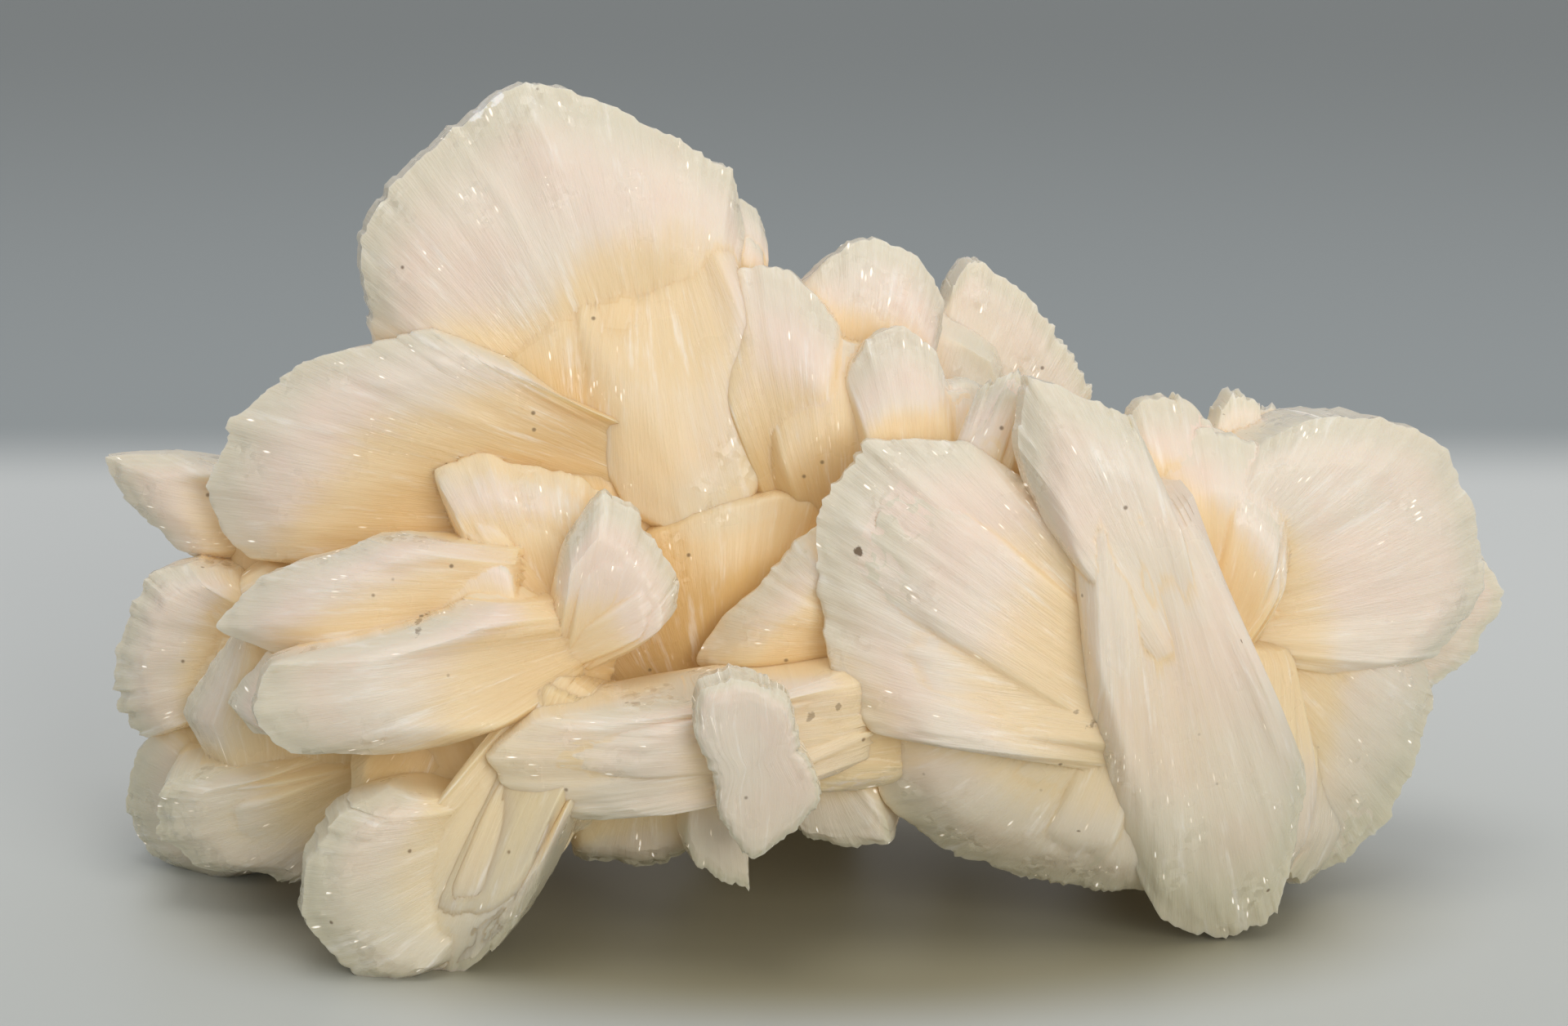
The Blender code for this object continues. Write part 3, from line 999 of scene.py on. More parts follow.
        # Painted glints: small streak-like cells near the rims are painted white into the base colour, glow white
        # through the emission and are glossier
        glint_cells = wiring.cells(wiring.stretch(lanes, (2.2, 0.7, 1.0)), 1.0)
        glint_cell_parts = wiring.add("ShaderNodeSeparateColor")
        wiring.join(glint_cells.outputs["Color"], glint_cell_parts.inputs[0])
        patches = wiring.ease(wiring.noise(place, 240.0, 2.0, 0.6), 0.50, 0.66)
        chosen = wiring.math("GREATER_THAN", glint_cell_parts.outputs[0], wiring.ease(patches, 0.0, 1.0, 0.99, 0.70))
        painted_glint = wiring.math("MULTIPLY", chosen, wiring.ease(glint_cells.outputs["Distance"], 0.34, 0.10))
        painted_glint = wiring.math("MULTIPLY", painted_glint, wiring.ease(growth, 0.40, 0.85))
        base = wiring.mix(wiring.math("MULTIPLY", painted_glint, 0.85), base, self.frost_and_glint)
        facets = wiring.cells(place, 1700.0)
        tilt = wiring.add("ShaderNodeVectorMath", operation="SUBTRACT")
        wiring.join(facets.outputs["Color"], tilt.inputs[0])
        tilt.inputs[1].default_value = (0.5, 0.5, 0.5)
        glint = wiring.math("MULTIPLY", patches, wiring.ease(growth, 0.55, 0.92, 0.06, 0.42))
        scaled = wiring.add("ShaderNodeVectorMath", operation="SCALE")
        wiring.join(tilt.outputs[0], scaled.inputs[0])
        wiring.join(glint, scaled.inputs["Scale"])
        summed = wiring.add("ShaderNodeVectorMath", operation="ADD")
        wiring.join(bump.outputs[0], summed.inputs[0])
        wiring.join(scaled.outputs[0], summed.inputs[1])
        normal = wiring.add("ShaderNodeVectorMath", operation="NORMALIZE")
        wiring.join(summed.outputs[0], normal.inputs[0])

        gloss = wiring.math("SUBTRACT", self.roughness + 0.10, wiring.math("MULTIPLY", patches, 0.16))
        gloss = wiring.math("SUBTRACT", gloss, wiring.math("MULTIPLY", clear, 0.08))
        gloss = wiring.math("SUBTRACT", gloss, wiring.math("MULTIPLY", painted_glint, 0.10))
        shader = wiring.add("ShaderNodeBsdfPrincipled")
        wiring.join(base, shader.inputs["Base Color"])
        wiring.join(gloss, shader.inputs["Roughness"])
        wiring.join(normal.outputs[0], shader.inputs["Normal"])
        shader.inputs["IOR"].default_value = 1.49
        shader.inputs["Subsurface Weight"].default_value = self.subsurface
        shader.inputs["Subsurface Radius"].default_value = self.scatter
        shader.inputs["Subsurface Scale"].default_value = self.depth
        # Painted glow: the recesses glow faintly warm, standing in for light scattered through the stone, and the
        # painted glints glow white
        light = wiring.math("MULTIPLY", cavity, self.inner_light)
        light = wiring.math("ADD", light, wiring.math("MULTIPLY", painted_glint, self.sparkle))
        wiring.join(wiring.mix(painted_glint, self.glow, self.frost_and_glint), shader.inputs["Emission Color"])
        wiring.join(light, shader.inputs["Emission Strength"])
        output = wiring.add("ShaderNodeOutputMaterial")
        wiring.join(shader.outputs[0], output.inputs[0])
        return material


@dataclass
class CrystalGroup:
    """A clump of crystals that have grown into one closed piece.

    Attributes:
        name: Name of the finished piece.
        crystals: The crystals of the clump.
        fineness: How densely they are meshed.
        seed: Number that picks their random details.
    """

    name: str
    crystals: tuple[Crystal, ...]
    fineness: Fineness
    seed: int
    piece: bpy.types.Object | None = field(default=None, init=False)

    SHARP = math.radians(36.0)
    TRIM_SIZE = 0.4
    LEAF_LEAST = 9.0
    FALL_BELOW = 0.0
    CREASE_ROUNDS = 8

    def build(self, field_of_stone: StoneField) -> bpy.types.Object:
        """Models the crystals and grows them together.

        Args:
            field_of_stone: Takes note of where the stone is.

        Returns:
            The closed piece.
        """
        made = []
        random = np.random.default_rng(self.seed)
        grown = list(self.crystals)
        for crystal in self.crystals:
            if crystal.habit is Habit.SHEAF and max(crystal.reach) >= self.LEAF_LEAST:
                grown += [crystal.leaf(random, number) for number in range(self.fineness.leaves)]
        for number, crystal in enumerate(grown):
            solid, points = CrystalMaker(crystal, self.fineness, self.seed * 100 + number).make()
            field_of_stone.add(points)
            made.append(solid)
        piece = made[0]
        if len(made) > 1:
            self.unite(piece, made[1:])
        self.trim(piece)
        piece.name = piece.data.name = self.name
        self.piece = piece
        return piece

    @staticmethod
    def unite(piece: bpy.types.Object, others: list[bpy.types.Object]) -> None:
        """Joins closed shapes to one.

        Args:
            piece: The shape that takes in the others.
            others: The shapes that are used up.
        """
        together = bpy.data.collections.new("together")
        bpy.context.scene.collection.children.link(together)
        for other in others:
            together.objects.link(other)
        modifier = piece.modifiers.new("grown", "BOOLEAN")
        modifier.operation = "UNION"
        modifier.solver = "MANIFOLD"
        modifier.operand_type = "COLLECTION"
        modifier.collection = together
        bpy.context.view_layer.objects.active = piece
        bpy.ops.object.modifier_apply(modifier=modifier.name)
        for other in others:
            mesh = other.data
            bpy.data.objects.remove(other)
            bpy.data.meshes.remove(mesh)
        bpy.data.collections.remove(together)

    def trim(self, piece: bpy.types.Object) -> None:
        """Cuts off what would lie below the floor.

        Args:
            piece: The closed shape to trim.
        """
        if min(corner[2] for corner in piece.bound_box) >= self.FALL_BELOW:
            return
        bpy.ops.object.select_all(action="DESELECT")
        bpy.ops.mesh.primitive_cube_add(size=self.TRIM_SIZE, location=(0.0, 0.0, -self.TRIM_SIZE / 2))
        block = bpy.context.object
        modifier = piece.modifiers.new("stood", "BOOLEAN")
        modifier.operation = "DIFFERENCE"
        modifier.solver = "MANIFOLD"
        modifier.object = block
        bpy.context.view_layer.objects.active = piece
        bpy.ops.object.modifier_apply(modifier=modifier.name)
        bpy.data.objects.remove(block)

    def soften(self, piece: bpy.types.Object, weights: np.ndarray) -> None:
        """Rounds the creases where crystals meet.

        Args:
            piece: The shape to soften.
            weights: How much each point may move, from 0 to 1.
        """
        group = piece.vertex_groups.new(name="crease")
        levels = np.round(weights * 4).astype(int)
        for level in range(1, 5):
            group.add(np.flatnonzero(levels == level).tolist(), level / 4, "REPLACE")
        modifier = piece.modifiers.new("creases", "SMOOTH")
        modifier.factor = 0.5
        modifier.iterations = self.CREASE_ROUNDS
        modifier.vertex_group = group.name
        bpy.context.view_layer.objects.active = piece
        bpy.ops.object.modifier_apply(modifier=modifier.name)
        piece.vertex_groups.clear()

    def dress(self, material: bpy.types.Material, stone: StoneField) -> None:
        """Gives the piece its stone, its marks and its smooth faces.

        Args:
            material: The stone.
            stone: Knows how much stone is around a point.
        """
        piece = self.piece
        mesh = piece.data
        mesh.materials.clear()
        mesh.materials.append(material)
        bpy.ops.object.select_all(action="DESELECT")
        piece.select_set(True)
        bpy.context.view_layer.objects.active = piece
        points = np.empty(len(mesh.vertices) * 3, dtype=np.float32)
        mesh.vertices.foreach_get("co", points)
        points = points.reshape(-1, 3) / MM
        normals = np.empty(len(mesh.vertices) * 3, dtype=np.float32)
        mesh.vertices.foreach_get("normal", normals)
        outside = points + normals.reshape(-1, 3) * 1.6
        if self.crystals:
            self.soften(piece, smoothstep(0.52, 0.78, stone.around("near", points)))
        bpy.ops.object.shade_smooth_by_angle(angle=self.SHARP)
        # cavity and core drive the amber of the roots and the painted warm shade and glow of the recesses
        near, deep = stone.around("near", outside), stone.around("deep", outside)
        marks = (("cavity", smoothstep(0.30, 0.72, near)), ("core", smoothstep(0.34, 0.66, deep)))
        for name, values in marks:
            mark = mesh.attributes.new(name, "FLOAT", "POINT")
            mark.data.foreach_set("value", values.astype(np.float32))
        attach(piece, "root")
        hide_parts(NODE)


B, S, L, G, H = Habit.BROAD, Habit.SHEAF, Habit.LOBE, Habit.BLADE, Habit.LATH

CROWN = (
    Crystal(
        "crown", (-15.5, 4, 41), (166, 46),
        (22.6, 24.5, 27.4, 28, 27.8, 28.6, 29.4, 27, 24.6, 23, 22.4, 18.4, 15), 16, 8, 9, B, -0.15,
        0, -2.2,
    ),
    Crystal("crown_root", (-18, -1, 31), (142, 56), (15, 20, 22.5, 22.5, 18), 16, -6, 16, B, 0.3, 0, -2.2),
    Crystal("shield", (-13.5, 6, 57), (238, 320), (14, 17, 21, 26, 28.4, 27.6, 23.5, 18, 13), 15, -4, 26, L, -0.1, 0, 3),
    Crystal("crown_wedge", (-8, 4, 47), (120, 50), (9.5, 13, 13.5, 12, 9), 9, 26, 10, S, -0.1, 0, 3),
    Crystal("back_crown", (-16, 10, 42), (34, 126), (18, 21, 22, 20, 14), 12, 172, 16, S),
)

LEFT_FANS = (
    Crystal("left_fan", (-17, -4, 37), (118, 206), (8, 12.5, 19, 22.5, 27.5, 32, 34.5, 32.5, 20), 15, -10, 9, B, 0.1, 0, 1),
    Crystal("left_mid_fan", (-20, -14.2, 24.5), (142, 80), (11, 19, 18, 16, 15, 14), 10, -6, 27, S, 0.1),
    Crystal("small_bright", (-25, -18.5, 26), (150, 84), (7, 8, 8, 7.5, 6), 4, -10, 24, G, -0.2),
    Crystal("long_bar", (-27, -14, 30), (146, 212), (8, 10, 12.5, 18.5, 22.5, 17.5, 8), 13, -7, 9, L, 0.15),
    Crystal("glint_wedge", (-18.5, -17.5, 26.2), (112, 4), (6, 9, 12.6, 11.6, 10.4, 9.4, 8, 6), 9, 12, 8, S, -0.3),
    Crystal("left_shelf", (-28, -10, 22), (146, 216), (13, 17, 19, 18, 14), 12, -6, 3, B, 0.4),
    Crystal(
        "mid_left_lobe", (-22.5, -17.5, 25.6), (140, 240),
        (7.4, 8.2, 9.4, 13, 22, 23.8, 21.8, 15.6, 11.4, 9, 7.6), 13, 9, 6, L, 0.0,
    ),
    Crystal("mid_left_root", (-18, -14, 24), (200, 132), (9, 12, 13, 12, 9), 12, 9, 4, S, 0.2),
    Crystal("recess_slab", (-29, -14, 20), (205, 295), (10, 12.5, 14, 11, 7), 13, -6, 4, B, 0.5),
)

LEFT_END = (
    Crystal("left_backing", (-40, 2, 21), (96, 196), (9, 10, 10.5, 11, 12), 12, -12, 3, L, -0.2),
    Crystal("left_tip", (-44, 4, 31), (144, 206), (8, 12.5, 18, 16, 13, 11.5, 10), 10, -10, 4, L, -0.3, 0, 5),
    Crystal("left_small", (-40, -15, 19), (196, 116), (6.5, 8.5, 7.5, 7.5, 7), 9, -14, 9, L),
    Crystal("left_web", (-42, -6, 17), (0, 300), (9, 10, 10, 11, 11, 9), 13, -10, 0, L, 0.2),
    Crystal("left_column", (-45.5, -1, 21), (120, 232), (8, 10.5, 12.5, 12.5, 14, 14.5, 14.5, 8.5), 13, -12, 6, S, -0.25),
    Crystal("left_base", (-45, 1, 7.5), (122, 258), (9.5, 12, 13, 14, 14.5, 14, 11.5, 9, 8), 14, -12, -4, L),
    Crystal("left_base_front", (-38.5, -9, 12.5), (166, 256), (8, 15.5, 17.5, 16, 12, 11, 7.5), 14, -7, -10, S),
)

PEAKS = (
    Crystal("peak_small", (0, -5, 34), (130, 72), (12, 18, 21.5, 20.5, 17, 13), 10, -6, 12, L, 0.2),
    Crystal("peak_pale", (3, 2, 37), (126, 42), (11, 14, 16.5, 19, 18.5, 16, 11), 12, 6, 13, B, 0.1),
    Crystal("peak_glass", (13, 11, 32), (98, 22), (15, 20.5, 18.5, 17, 15.5, 15, 13), 5, 14, 6, G, -0.5),
    Crystal("saddle", (3, -6, 32), (132, 60), (12, 15, 17.5, 16, 11), 10, -4, 12, L, 0.3),
    Crystal("round_lobe", (8.5, -7.5, 34), (124, 58), (8, 13, 15.5, 16.5, 14.5, 11, 7), 11, 8, 12, L, 0.2),
    Crystal("notch", (11, -7, 30), (112, 52), (13, 16, 16, 15, 11), 10, 10, 6, S),
    Crystal("striated_bundle", (12, -13, 32.5), (92, 54), (8, 13.5, 16, 16, 11), 9, -8, 13, S),
    Crystal("yellow_recess", (18, -12, 22), (132, 48), (15, 18, 20, 20, 17, 12), 11, 4, 8, B, 0.3),
    Crystal("top_middle", (8, 13, 35), (24, 156), (10, 13, 14, 13, 10), 8, 10, 60, S),
)

VALLEY = (
    Crystal("valley_slab", (-7.5, -4, 14.5), (174, 18), (14, 16, 19, 20, 23.5, 18, 13.5), 18, 0, 4, B, 0.7),
    Crystal("arrow_wedge", (4.5, -14, 27), (110, 214), (9, 8.5, 8.5, 9, 11.5, 14.5, 9.5), 9, -6, 8, L, 0.1),
    Crystal("cross_right", (-8.5, -15, 17.5), (30, -18), (14, 18, 18, 18, 14), 12, -6, 0, S, 0.9),
    Crystal("under_bar", (1.5, -13, 15.5), (240, 336), (5, 7, 7.5, 9, 6), 10, -10, 0, G, -0.3),
    Crystal("under_wedge", (-8, -20, 17), (248, 296), (7, 9, 10.5, 11.5, 6.5), 5, 14, 0, G, -0.3),
    Crystal("under_mass", (-12.5, -13, 17), (212, 308), (8.5, 12.5, 11, 10.5, 7), 13, -12, -10, B, 0.0),
    Crystal("stub_upper", (-18, -17, 16), (216, 270), (6, 7.5, 7.5, 6), 8, -8, 0, L),
    Crystal("stub_lower", (-19.5, -15, 13), (220, 256), (7, 10.5, 9, 5.5), 8, 12, 0, L),
)

CROSS = (
    Crystal("cross_left", (1.5, -20, 20.5), (160, 208), (9, 13.5, 23.5, 28, 26.5, 22, 13), 13, 5, 0, S, -0.1),
    Crystal(
        "upright_blade", (-4.5, -27.5, 19.5), (0, 330),
        (4.5, 4, 6, 7.5, 8, 5.5, 3.5, 3.5, 5.5, 8.5, 7, 6.5), 4.5, 4, -3, G, -0.2,
    ),
)

CENTRE_FANS = (
    Crystal(
        "centre_fan", (27, -19, 21.5), (98, 200), (13.5, 17, 25.5, 30.8, 30.6, 27.6, 25, 22, 13), 15, -4, 14, S, -0.1, 0, 1,
    ),
    Crystal("lower_centre", (27, -19.5, 22), (184, 310), (23.5, 23, 21.5, 19.5, 18, 18, 18, 12), 13, -7, -16, S, -0.2, 0, 2),
)

TALL_BLADES = (
    Crystal("tall_upper", (28.5, -20.5, 29.5), (150, 76), (8, 12.5, 18.4, 22, 19, 16.4, 10.5, 8), 11, 6, 13, H, -0.4, 0, 1.5),
    Crystal(
        "tall_lower", (27, -20, 33.5), (240, 318), (9.8, 12, 15, 22, 31, 34.4, 34, 28, 23, 13), 13, 9, -4, H, -0.45,
        0, 2.5,
    ),
)

RIGHT_FANS = (
    Crystal("right_top", (31.5, -11, 27.5), (112, 72), (15.5, 18, 18, 16, 12), 9, 10, 8, S),
    Crystal("right_top_glass_a", (36, -4, 30), (101, 73), (10, 13, 14, 13.5, 10), 3.5, 16, 6, G, -0.5),
    Crystal("right_top_glass_b", (38, -1, 29), (98, 66), (10, 13, 13.5, 12, 9), 3.5, -8, 6, G, -0.5),
    Crystal("right_web", (33, -8, 25), (128, 40), (14, 17, 17.5, 16, 14, 11), 14, 10, 8, B, 0.2),
    Crystal("right_mid", (34.5, -13, 25.5), (124, 34), (12, 16.5, 17.5, 16, 13, 9, 6), 9, 12, 11, S, 0.05),
    Crystal("right_disc", (34, -9.5, 28.5), (92, -36), (10, 13, 16.5, 20, 23, 23.5, 24, 20.5, 14), 14, 18, 7, B, -0.3),
    Crystal("right_disc_back", (46, 3, 23), (50, -60), (9, 13, 15, 13.5, 11, 9), 5, 8, 0, G, -0.4),
    Crystal("right_low_fan", (32, -10, 29), (276, 342), (24, 29.5, 30.5, 29.5, 27, 25, 23), 12, 13, -6, S, -0.15),
)

LEFT_FEET = (
    Crystal("foot_left_a", (-26, -22, 11), (150, 246), (10, 13, 15.5, 17, 16.5, 15.5, 13), 11, 8, -2, B, -0.15, 0, 2),
    Crystal("foot_left_b", (-20.5, -22.8, 20), (212, 274), (12, 18, 23.5, 25.5, 23, 18.5, 13, 9), 12, -12, 3, S, -0.1, 0, 4),
)

BACK_LEFT = (
    Crystal("back_left_fan", (-18, 9, 30), (-24, 56), (25, 28, 27, 22, 16), 13, 194, 10),
    Crystal("back_fan", (-10, 18, 22), (56, 130), (16, 22, 24, 21, 14), 12, 190, 20),
    Crystal("back_bow_left", (-2, 24, 20), (-32, 36), (14, 22, 25, 21, 13), 11, 196, 6),
    Crystal("back_low_left", (-16, 17, 18), (276, 350), (10, 15, 17, 15, 10), 12, 200, 6),
    Crystal("back_foot", (-2, 18, 20), (236, 304), (14, 21, 24, 22, 15), 14, 184, 8),
    Crystal("back_spray_a", (-24, 16, 26), (60, 130), (9, 13, 14, 12, 8), 8, 215, 24),
    Crystal("side_left_back", (-26, 13, 22), (-44, 26), (12, 19, 22, 18, 11), 12, 206, 0),
    Crystal("top_left", (-32, 8, 33), (56, 188), (11, 14, 15, 14, 12), 9, 0, 68),
)

BACK_RIGHT = (
    Crystal("back_peak", (8, 15, 26), (60, 138), (14, 20, 23, 21, 14), 11, 168, 14),
    Crystal("back_bow_right", (-4, 23, 20), (148, 214), (14, 22, 25, 20, 12), 11, 166, -4),
    Crystal("back_right_wing", (28, 4, 23), (140, 214), (15, 22, 25, 23, 15), 13, 196, 8),
    Crystal("back_right_low", (26, 8, 20), (204, 282), (14, 18, 20, 18, 12), 12, 190, 6),
    Crystal("back_right_up", (22, 8, 23), (88, 164), (13, 18, 20, 19, 13), 11, 176, 18),
    Crystal("back_blade", (12, 23, 22), (196, 280), (8, 13, 16, 15, 9), 6, 150, -6),
    Crystal("back_spray_b", (18, 14, 26), (150, 220), (8, 12, 14, 12, 8), 8, 140, 20),
    Crystal("back_spray_c", (2, 26, 30), (40, 110), (6, 9, 11, 10, 6), 7, 200, 30),
    Crystal("top_right", (30, 5, 29), (8, 172), (12, 15, 16, 15, 12), 9, -8, 64),
)

ENDS = (
    Crystal("side_left_up", (-42, 8, 24), (96, 200), (9, 13, 15, 14, 10), 12, -104, 8),
    Crystal("side_left_low", (-43, 8, 14), (166, 266), (11, 14, 16, 15, 12), 13, -112, -6),
    Crystal("side_left_fan", (-46, -2, 20), (64, 150), (7, 8.5, 9, 9, 8), 10, -80, 14),
    Crystal("side_right_up", (44, -2, 25), (10, 104), (11, 14, 15, 14, 10), 11, 74, 12),
    Crystal("side_right_mid", (44, 0, 22), (-70, 14), (11, 15, 17, 15, 11), 12, 66, 0),
    Crystal("side_right_low", (42, -6, 18.5), (226, 308), (12, 16, 17, 16, 11), 12, 58, -6),
    Crystal("side_right_front", (38, -14, 22), (236, 292), (14, 19, 20, 18, 12), 11, 40, -4),
)

UNDERSIDE = (
    Crystal("underside_mid", (2, 2, 13), (0, 300), (17, 14, 16, 19, 15, 16), 9, 8, -84),
    Crystal("underside_left", (-28, 2, 12), (0, 300), (15, 13, 14, 16, 13, 15), 10, -12, -82),
    Crystal("underside_right", (26, -4, 13), (0, 300), (14, 13, 15, 16, 14, 13), 10, 16, -86),
    Crystal("under_spray_a", (-10, 4, 12), (230, 310), (6, 8, 9, 8, 6), 6, 30, 0),
    Crystal("under_spray_b", (14, 6, 12), (232, 306), (6, 8, 9, 8, 6), 6, -40, 0),
    Crystal("under_spray_c", (30, 8, 12), (236, 300), (8, 10, 11, 10, 7), 7, 70, 0),
    Crystal("under_spray_d", (-34, 8, 12), (240, 300), (8, 10, 11, 10, 8), 8, -50, 0),
)


@dataclass
class RootStone:
    """Massive stone that the crystals root in and that fills the creases between them.

    Attributes:
        name: Name of the finished piece.
        lumps: Centre and half size of each lump in the middle, in mm.
        voxel: Size of the cells that the stone is meshed with, in mm.
        level: Share of stone around its surface.
        steps: How often its points are moved to that level.
        grit: Height of its soft waves, in mm.
        faces: How many small flat faces it is broken into, counted through its whole box.
        face_tilt: How much the small faces tilt, as a slope.
        face_step: Most that a small face rises or falls, in mm.
        seed: Number that picks its random details.
    """

    name: str = "root_stone"
    lumps: tuple = (
        ((-28, 3, 23), (18, 12, 12)),
        ((-2, 4, 25), (19, 14, 12)),
        ((30, -1, 24), (15, 11, 12)),
        ((-16, 6, 43), (9, 5, 12)),
    )
    voxel: float = 0.9
    level: float = 0.955
    steps: int = 14
    grit: float = 0.3
    faces: int = 900
    face_tilt: float = 0.06
    face_step: float = 0.3
    seed: int = 77

    def hearts(self, stone: StoneField) -> list[bpy.types.Object]:
        """Models the lumps in the middle.

        Args:
            stone: Takes note of where the stone is.

        Returns:
            One closed lump each.
        """
        made = []
        for centre, half in self.lumps:
            place = Vector(centre) - Vector((*CENTRE, 0.0))
            bpy.ops.object.select_all(action="DESELECT")
            bpy.ops.mesh.primitive_ico_sphere_add(
                subdivisions=4, radius=1.0, location=place * MM, scale=Vector(half) * MM
            )
            bpy.ops.object.transform_apply(location=True, rotation=False, scale=True)
            lump = bpy.context.object
            points = np.array([vertex.co[:] for vertex in lump.data.vertices]) / MM
            for share in np.linspace(0.0, 1.0, 22):
                stone.add((points - np.array(place)) * share + np.array(place))
            made.append(lump)
        return made

    def build(self, stone: StoneField, groups: list[CrystalGroup], lumps: list[bpy.types.Object]) -> CrystalGroup:
        """Casts the stone around the crystals' roots.

        Args:
            stone: Knows where the crystals are.
            groups: The finished clumps of crystals.
            lumps: The lumps in the middle, which are used up.

        Returns:
            The group that holds the finished piece.
        """
        bpy.ops.object.select_all(action="DESELECT")
        for group in groups:
            group.piece.select_set(True)
        bpy.context.view_layer.objects.active = groups[0].piece
        bpy.ops.object.duplicate()
        for lump in lumps:
            lump.select_set(True)
        bpy.ops.object.join()
        cast = bpy.context.object
        modifier = cast.modifiers.new("cast", "REMESH")
        modifier.mode = "VOXEL"
        modifier.voxel_size = self.voxel * MM
        bpy.ops.object.modifier_apply(modifier=modifier.name)
        cast = self.outer_shell(cast)
        mesh = cast.data
        points = np.empty(len(mesh.vertices) * 3, dtype=np.float32)
        mesh.vertices.foreach_get("co", points)
        points = points.reshape(-1, 3).astype(float) / MM
        for _ in range(self.steps):
            gap = np.clip((stone.around("wide", points) - self.level) * stone.WIDE * 2.2, -1.0, 1.0)
            points += stone.slope(points) * gap[:, None]
        points[:, 2] = np.maximum(points[:, 2], 0.6)
        mesh.vertices.foreach_set("co", (points * MM).astype(np.float32).ravel())
        mesh.update()
        smooth = cast.modifiers.new("evened", "SMOOTH")
        smooth.iterations = 3
        bpy.ops.object.modifier_apply(modifier=smooth.name)
        self.mark(cast)
        cast.name = cast.data.name = self.name
        group = CrystalGroup(self.name, (), REAR, self.seed)
        group.piece = cast
        return group

    def small_faces(self, points: np.ndarray) -> np.ndarray:
        """Height of the small flat faces that the stone has broken into.

        Args:
            points: Points of its surface, in mm.

        Returns:
            Height of each point, in mm.
        """
        random = np.random.default_rng(self.seed)
        low, high = points.min(axis=0), points.max(axis=0)
        seeds = random.uniform(low, high, (self.faces, 3))
        tilts = random.normal(0.0, 1.0, (self.faces, 3)) * self.face_tilt
        height = np.empty(len(points))
        for start in range(0, len(points), 4000):
            part = points[start:start + 4000]
            away = ((part[:, None, :] - seeds[None]) ** 2).sum(axis=2)
            nearest = away.argmin(axis=1)
            height[start:start + 4000] = ((part - seeds[nearest]) * tilts[nearest]).sum(axis=1)
        return np.clip(height, -self.face_step, self.face_step)

    @staticmethod
    def outer_shell(cast: bpy.types.Object) -> bpy.types.Object:
        """Keeps the outside of the stone and drops the closed hollows in it.

        Args:
            cast: The stone.

        Returns:
            Its outer shell.
        """
        bpy.ops.object.mode_set(mode="EDIT")
        bpy.ops.mesh.select_all(action="SELECT")
        bpy.ops.mesh.separate(type="LOOSE")
        bpy.ops.object.mode_set(mode="OBJECT")
        shells = sorted(bpy.context.selected_objects, key=lambda shell: len(shell.data.vertices))
        for hollow in shells[:-1]:
            bpy.data.objects.remove(hollow)
        bpy.ops.object.select_all(action="DESELECT")
        shells[-1].select_set(True)
        bpy.context.view_layer.objects.active = shells[-1]
        return shells[-1]

    def mark(self, cast: bpy.types.Object) -> None:
        """Roughens the stone with small faces and gives it the marks that the finish reads.

        Args:
            cast: The stone.
        """
        mesh = cast.data
        points = np.empty(len(mesh.vertices) * 3, dtype=np.float32)
        mesh.vertices.foreach_get("co", points)
        points = points.reshape(-1, 3).astype(float)
        normals = np.empty(len(mesh.vertices) * 3, dtype=np.float32)
        mesh.vertices.foreach_get("normal", normals)
        grain = Grain(self.seed)
        x, y, z = (points / MM).T
        rough = grain.waves(x * 0.5 + y * 0.3, z * 0.5 - y * 0.2) * self.grit + self.small_faces(points / MM)
        points += normals.reshape(-1, 3) * (rough * MM)[:, None]
        mesh.vertices.foreach_set("co", points.astype(np.float32).ravel())
        for name, value in (("growth", 0.35), ("rim", 0.0), ("tint", 0.1)):
            mark = mesh.attributes.new(name, "FLOAT", "POINT")
            mark.data.foreach_set("value", np.full(len(points), value, dtype=np.float32))
        corners = np.empty(len(mesh.loops), dtype=np.int32)
        mesh.loops.foreach_get("vertex_index", corners)
        while mesh.uv_layers:
            mesh.uv_layers.remove(mesh.uv_layers[0])
        lanes = np.column_stack((x + y, z))[corners]
        mesh.uv_layers.new(name="lanes").data.foreach_set("uv", lanes.astype(np.float32).ravel())
        mesh.update()


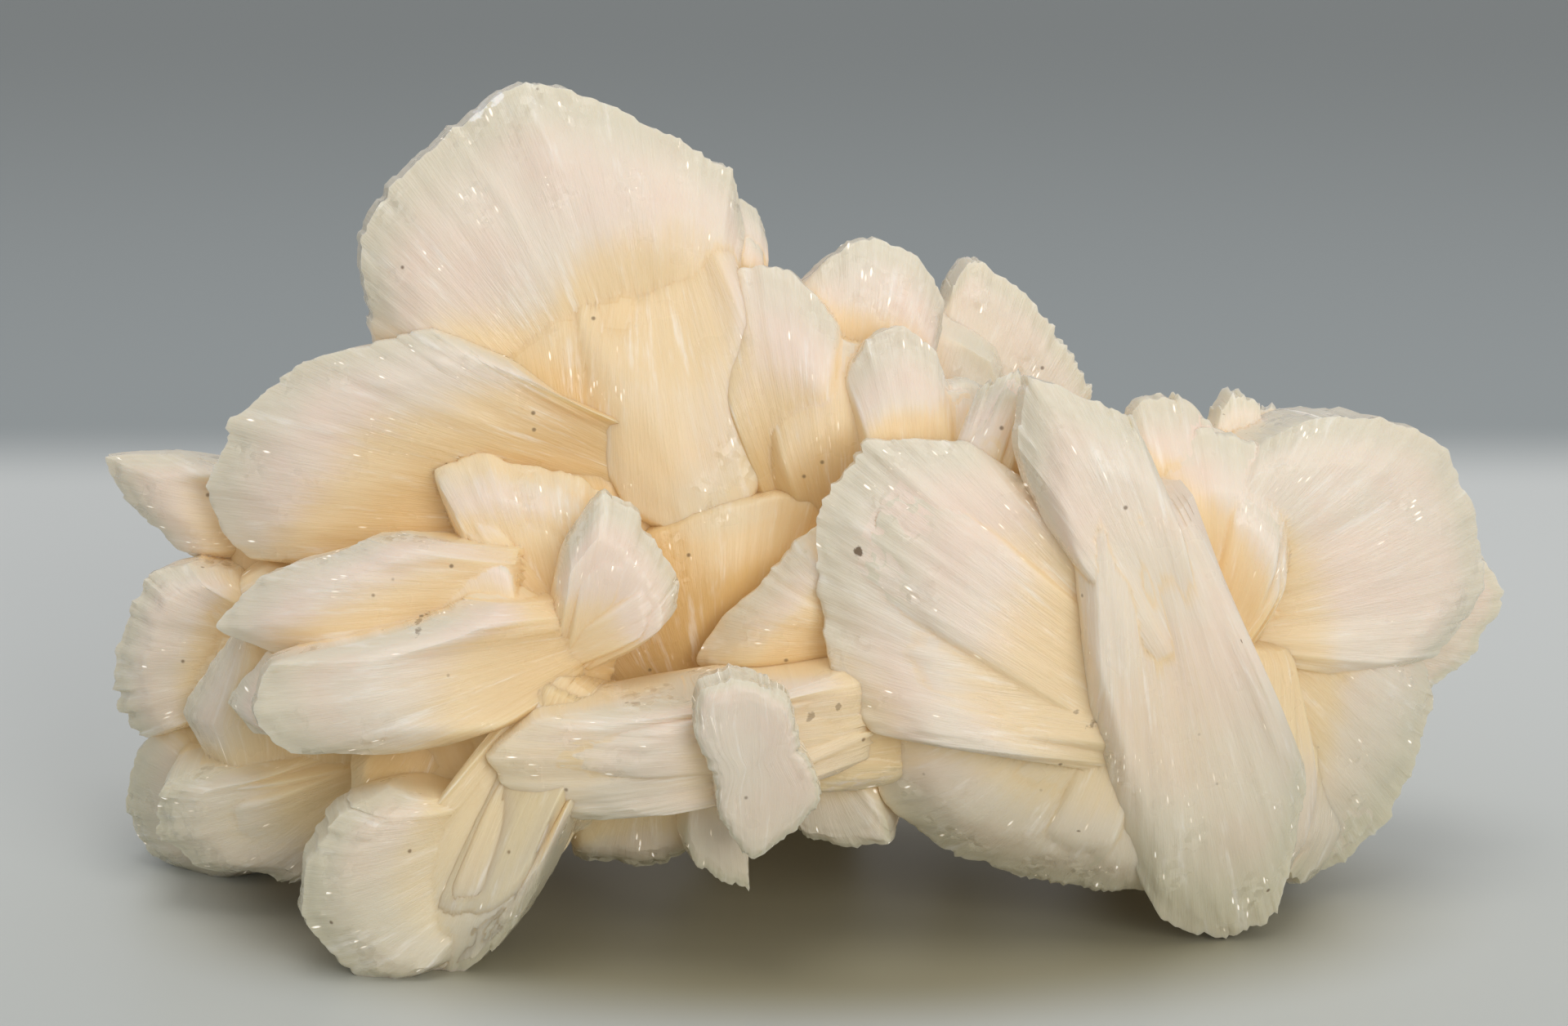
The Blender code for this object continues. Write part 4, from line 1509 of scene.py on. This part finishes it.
@dataclass(frozen=True)
class Studio:
    """Plain floor, soft lights and the camera.

    Attributes:
        target: Point that the camera looks at, in metres.
        distance: Distance from camera to target, in metres.
        elevation: How far the camera looks down, in degrees.
        lens: Focal length, in mm on a sensor 36 mm wide.
    """

    target: tuple[float, float, float] = (-0.0018, 0.0, 0.0327)
    distance: float = 0.380
    elevation: float = 15.0
    lens: float = 101.6

    def camera(self) -> None:
        """Sets the camera at the photograph's viewing angle."""
        lens = bpy.data.cameras.new("camera")
        lens.sensor_width = 36.0
        lens.lens = self.lens
        camera = bpy.data.objects.new("camera", lens)
        bpy.context.scene.collection.objects.link(camera)
        tilt = math.radians(self.elevation)
        away = Vector((0.0, -math.cos(tilt), math.sin(tilt))) * self.distance
        camera.location = Vector(self.target) + away
        camera.rotation_euler = (-away).to_track_quat("-Z", "Y").to_euler()
        bpy.context.scene.camera = camera

    def floor(self) -> None:
        """Lays a wide pale floor that darkens far behind the specimen, with a warm brown shadow painted under the
        specimen.
        """
        bpy.ops.object.select_all(action="DESELECT")
        bpy.ops.mesh.primitive_plane_add(size=8.0, location=(0.0, 0.0, 0.0))
        floor = bpy.context.object
        floor.name = "floor"
        material = bpy.data.materials.new("floor_card")
        wiring = Wiring(material)
        place = wiring.add("ShaderNodeTexCoord").outputs["Object"]
        split = wiring.add("ShaderNodeSeparateXYZ")
        wiring.join(place, split.inputs[0])
        back = split.outputs["Y"]
        tone = wiring.mix(wiring.ease(back, -0.16, 0.12), colour(178, 182, 176), colour(212, 215, 212))
        tone = wiring.mix(wiring.ease(back, 0.132, 0.166), tone, colour(150, 157, 157))
        tone = wiring.mix(wiring.ease(back, 0.15, 0.50), tone, colour(120, 126, 124))
        # Painted shadow: a warm, darker brown patch on the floor under the specimen
        around = wiring.stretch(place, (18.0, 34.0, 1.0))
        away = wiring.add("ShaderNodeVectorMath", operation="DISTANCE")
        wiring.join(around, away.inputs[0])
        away.inputs[1].default_value = (0.0, -0.30, 0.0)
        warm = wiring.ease(away.outputs["Value"], 1.10, 0.60, 0.0, 0.85)
        tone = wiring.mix(warm, tone, colour(142, 134, 102))
        shader = wiring.add("ShaderNodeBsdfPrincipled")
        wiring.join(tone, shader.inputs["Base Color"])
        shader.inputs["Roughness"].default_value = 0.42
        shader.inputs["Specular IOR Level"].default_value = 0.35
        output = wiring.add("ShaderNodeOutputMaterial")
        wiring.join(shader.outputs[0], output.inputs[0])
        floor.data.materials.append(material)
        floor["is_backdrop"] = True

    def lamp(self, name: str, place: tuple[float, float, float], size: float, power: float, tone: tuple) -> None:
        """Hangs one soft light that faces the specimen.

        Args:
            name: Name of the light.
            place: Where it hangs, in metres.
            size: Width of its face, in metres.
            power: Power in watts.
            tone: Linear colour of its light.
        """
        light = bpy.data.lights.new(name, "AREA")
        light.shape = "DISK"
        light.size = size
        light.energy = power
        light.color = tone
        lamp = bpy.data.objects.new(name, light)
        bpy.context.scene.collection.objects.link(lamp)
        lamp.location = place
        aim = Vector(self.target) - Vector(place)
        lamp.rotation_euler = aim.to_track_quat("-Z", "Y").to_euler()

    def lights(self) -> None:
        """Sets up the soft light from above and in front."""
        self.lamp("key", (-0.02, -0.14, 0.62), 0.34, 0.85, (1.0, 0.985, 0.97))
        self.lamp("front", (0.42, -0.80, 0.34), 0.60, 3.7, (1.0, 0.985, 0.97))
        world = bpy.data.worlds.new("studio")
        bpy.context.scene.world = world
        world.use_nodes = True
        sky = world.node_tree.nodes["Background"]
        sky.inputs["Color"].default_value = (0.96, 0.97, 1.0, 1.0)
        sky.inputs["Strength"].default_value = 0.57

    def build(self) -> None:
        """Sets up the whole studio."""
        self.camera()
        self.floor()
        self.lights()
        view = bpy.context.scene.view_settings
        view.view_transform = "Standard"


def main() -> None:
    """Builds the specimen and its studio, piece by piece."""
    logging.basicConfig(level=logging.INFO, format="%(name)s: %(message)s")
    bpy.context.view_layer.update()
    Studio().build()
    stone = StoneField()
    groups = [
        CrystalGroup("crown", CROWN, FRONT, 1),
        CrystalGroup("left_fans", LEFT_FANS, FRONT, 2),
        CrystalGroup("left_end", LEFT_END, FRONT, 3),
        CrystalGroup("peaks", PEAKS, FRONT, 4),
        CrystalGroup("valley", VALLEY, FRONT, 5),
        CrystalGroup("cross_bar", CROSS, FRONT, 6),
        CrystalGroup("centre_fans", CENTRE_FANS, FRONT, 7),
        CrystalGroup("tall_blades", TALL_BLADES, FRONT, 8),
        CrystalGroup("right_fans", RIGHT_FANS, FRONT, 9),
        CrystalGroup("left_feet", LEFT_FEET, FRONT, 10),
        CrystalGroup("back_left", BACK_LEFT, REAR, 11),
        CrystalGroup("back_right", BACK_RIGHT, REAR, 12),
        CrystalGroup("ends", ENDS, REAR, 13),
        CrystalGroup("underside", UNDERSIDE, REAR, 14),
    ]
    for group in groups:
        piece = group.build(stone)
        LOG.info("%s: %d faces", piece.name, len(piece.data.polygons))
    root_stone = RootStone()
    lumps = root_stone.hearts(stone)
    stone.spread("near", stone.NEAR)
    stone.spread("wide", stone.WIDE)
    stone.spread("deep", stone.DEEP)
    groups.append(root_stone.build(stone, groups, lumps))
    material = StoneFinish().material()
    for group in groups:
        group.dress(material, stone)
        LOG.info("%s dressed", group.name)


if __name__ == "__main__":
    main()
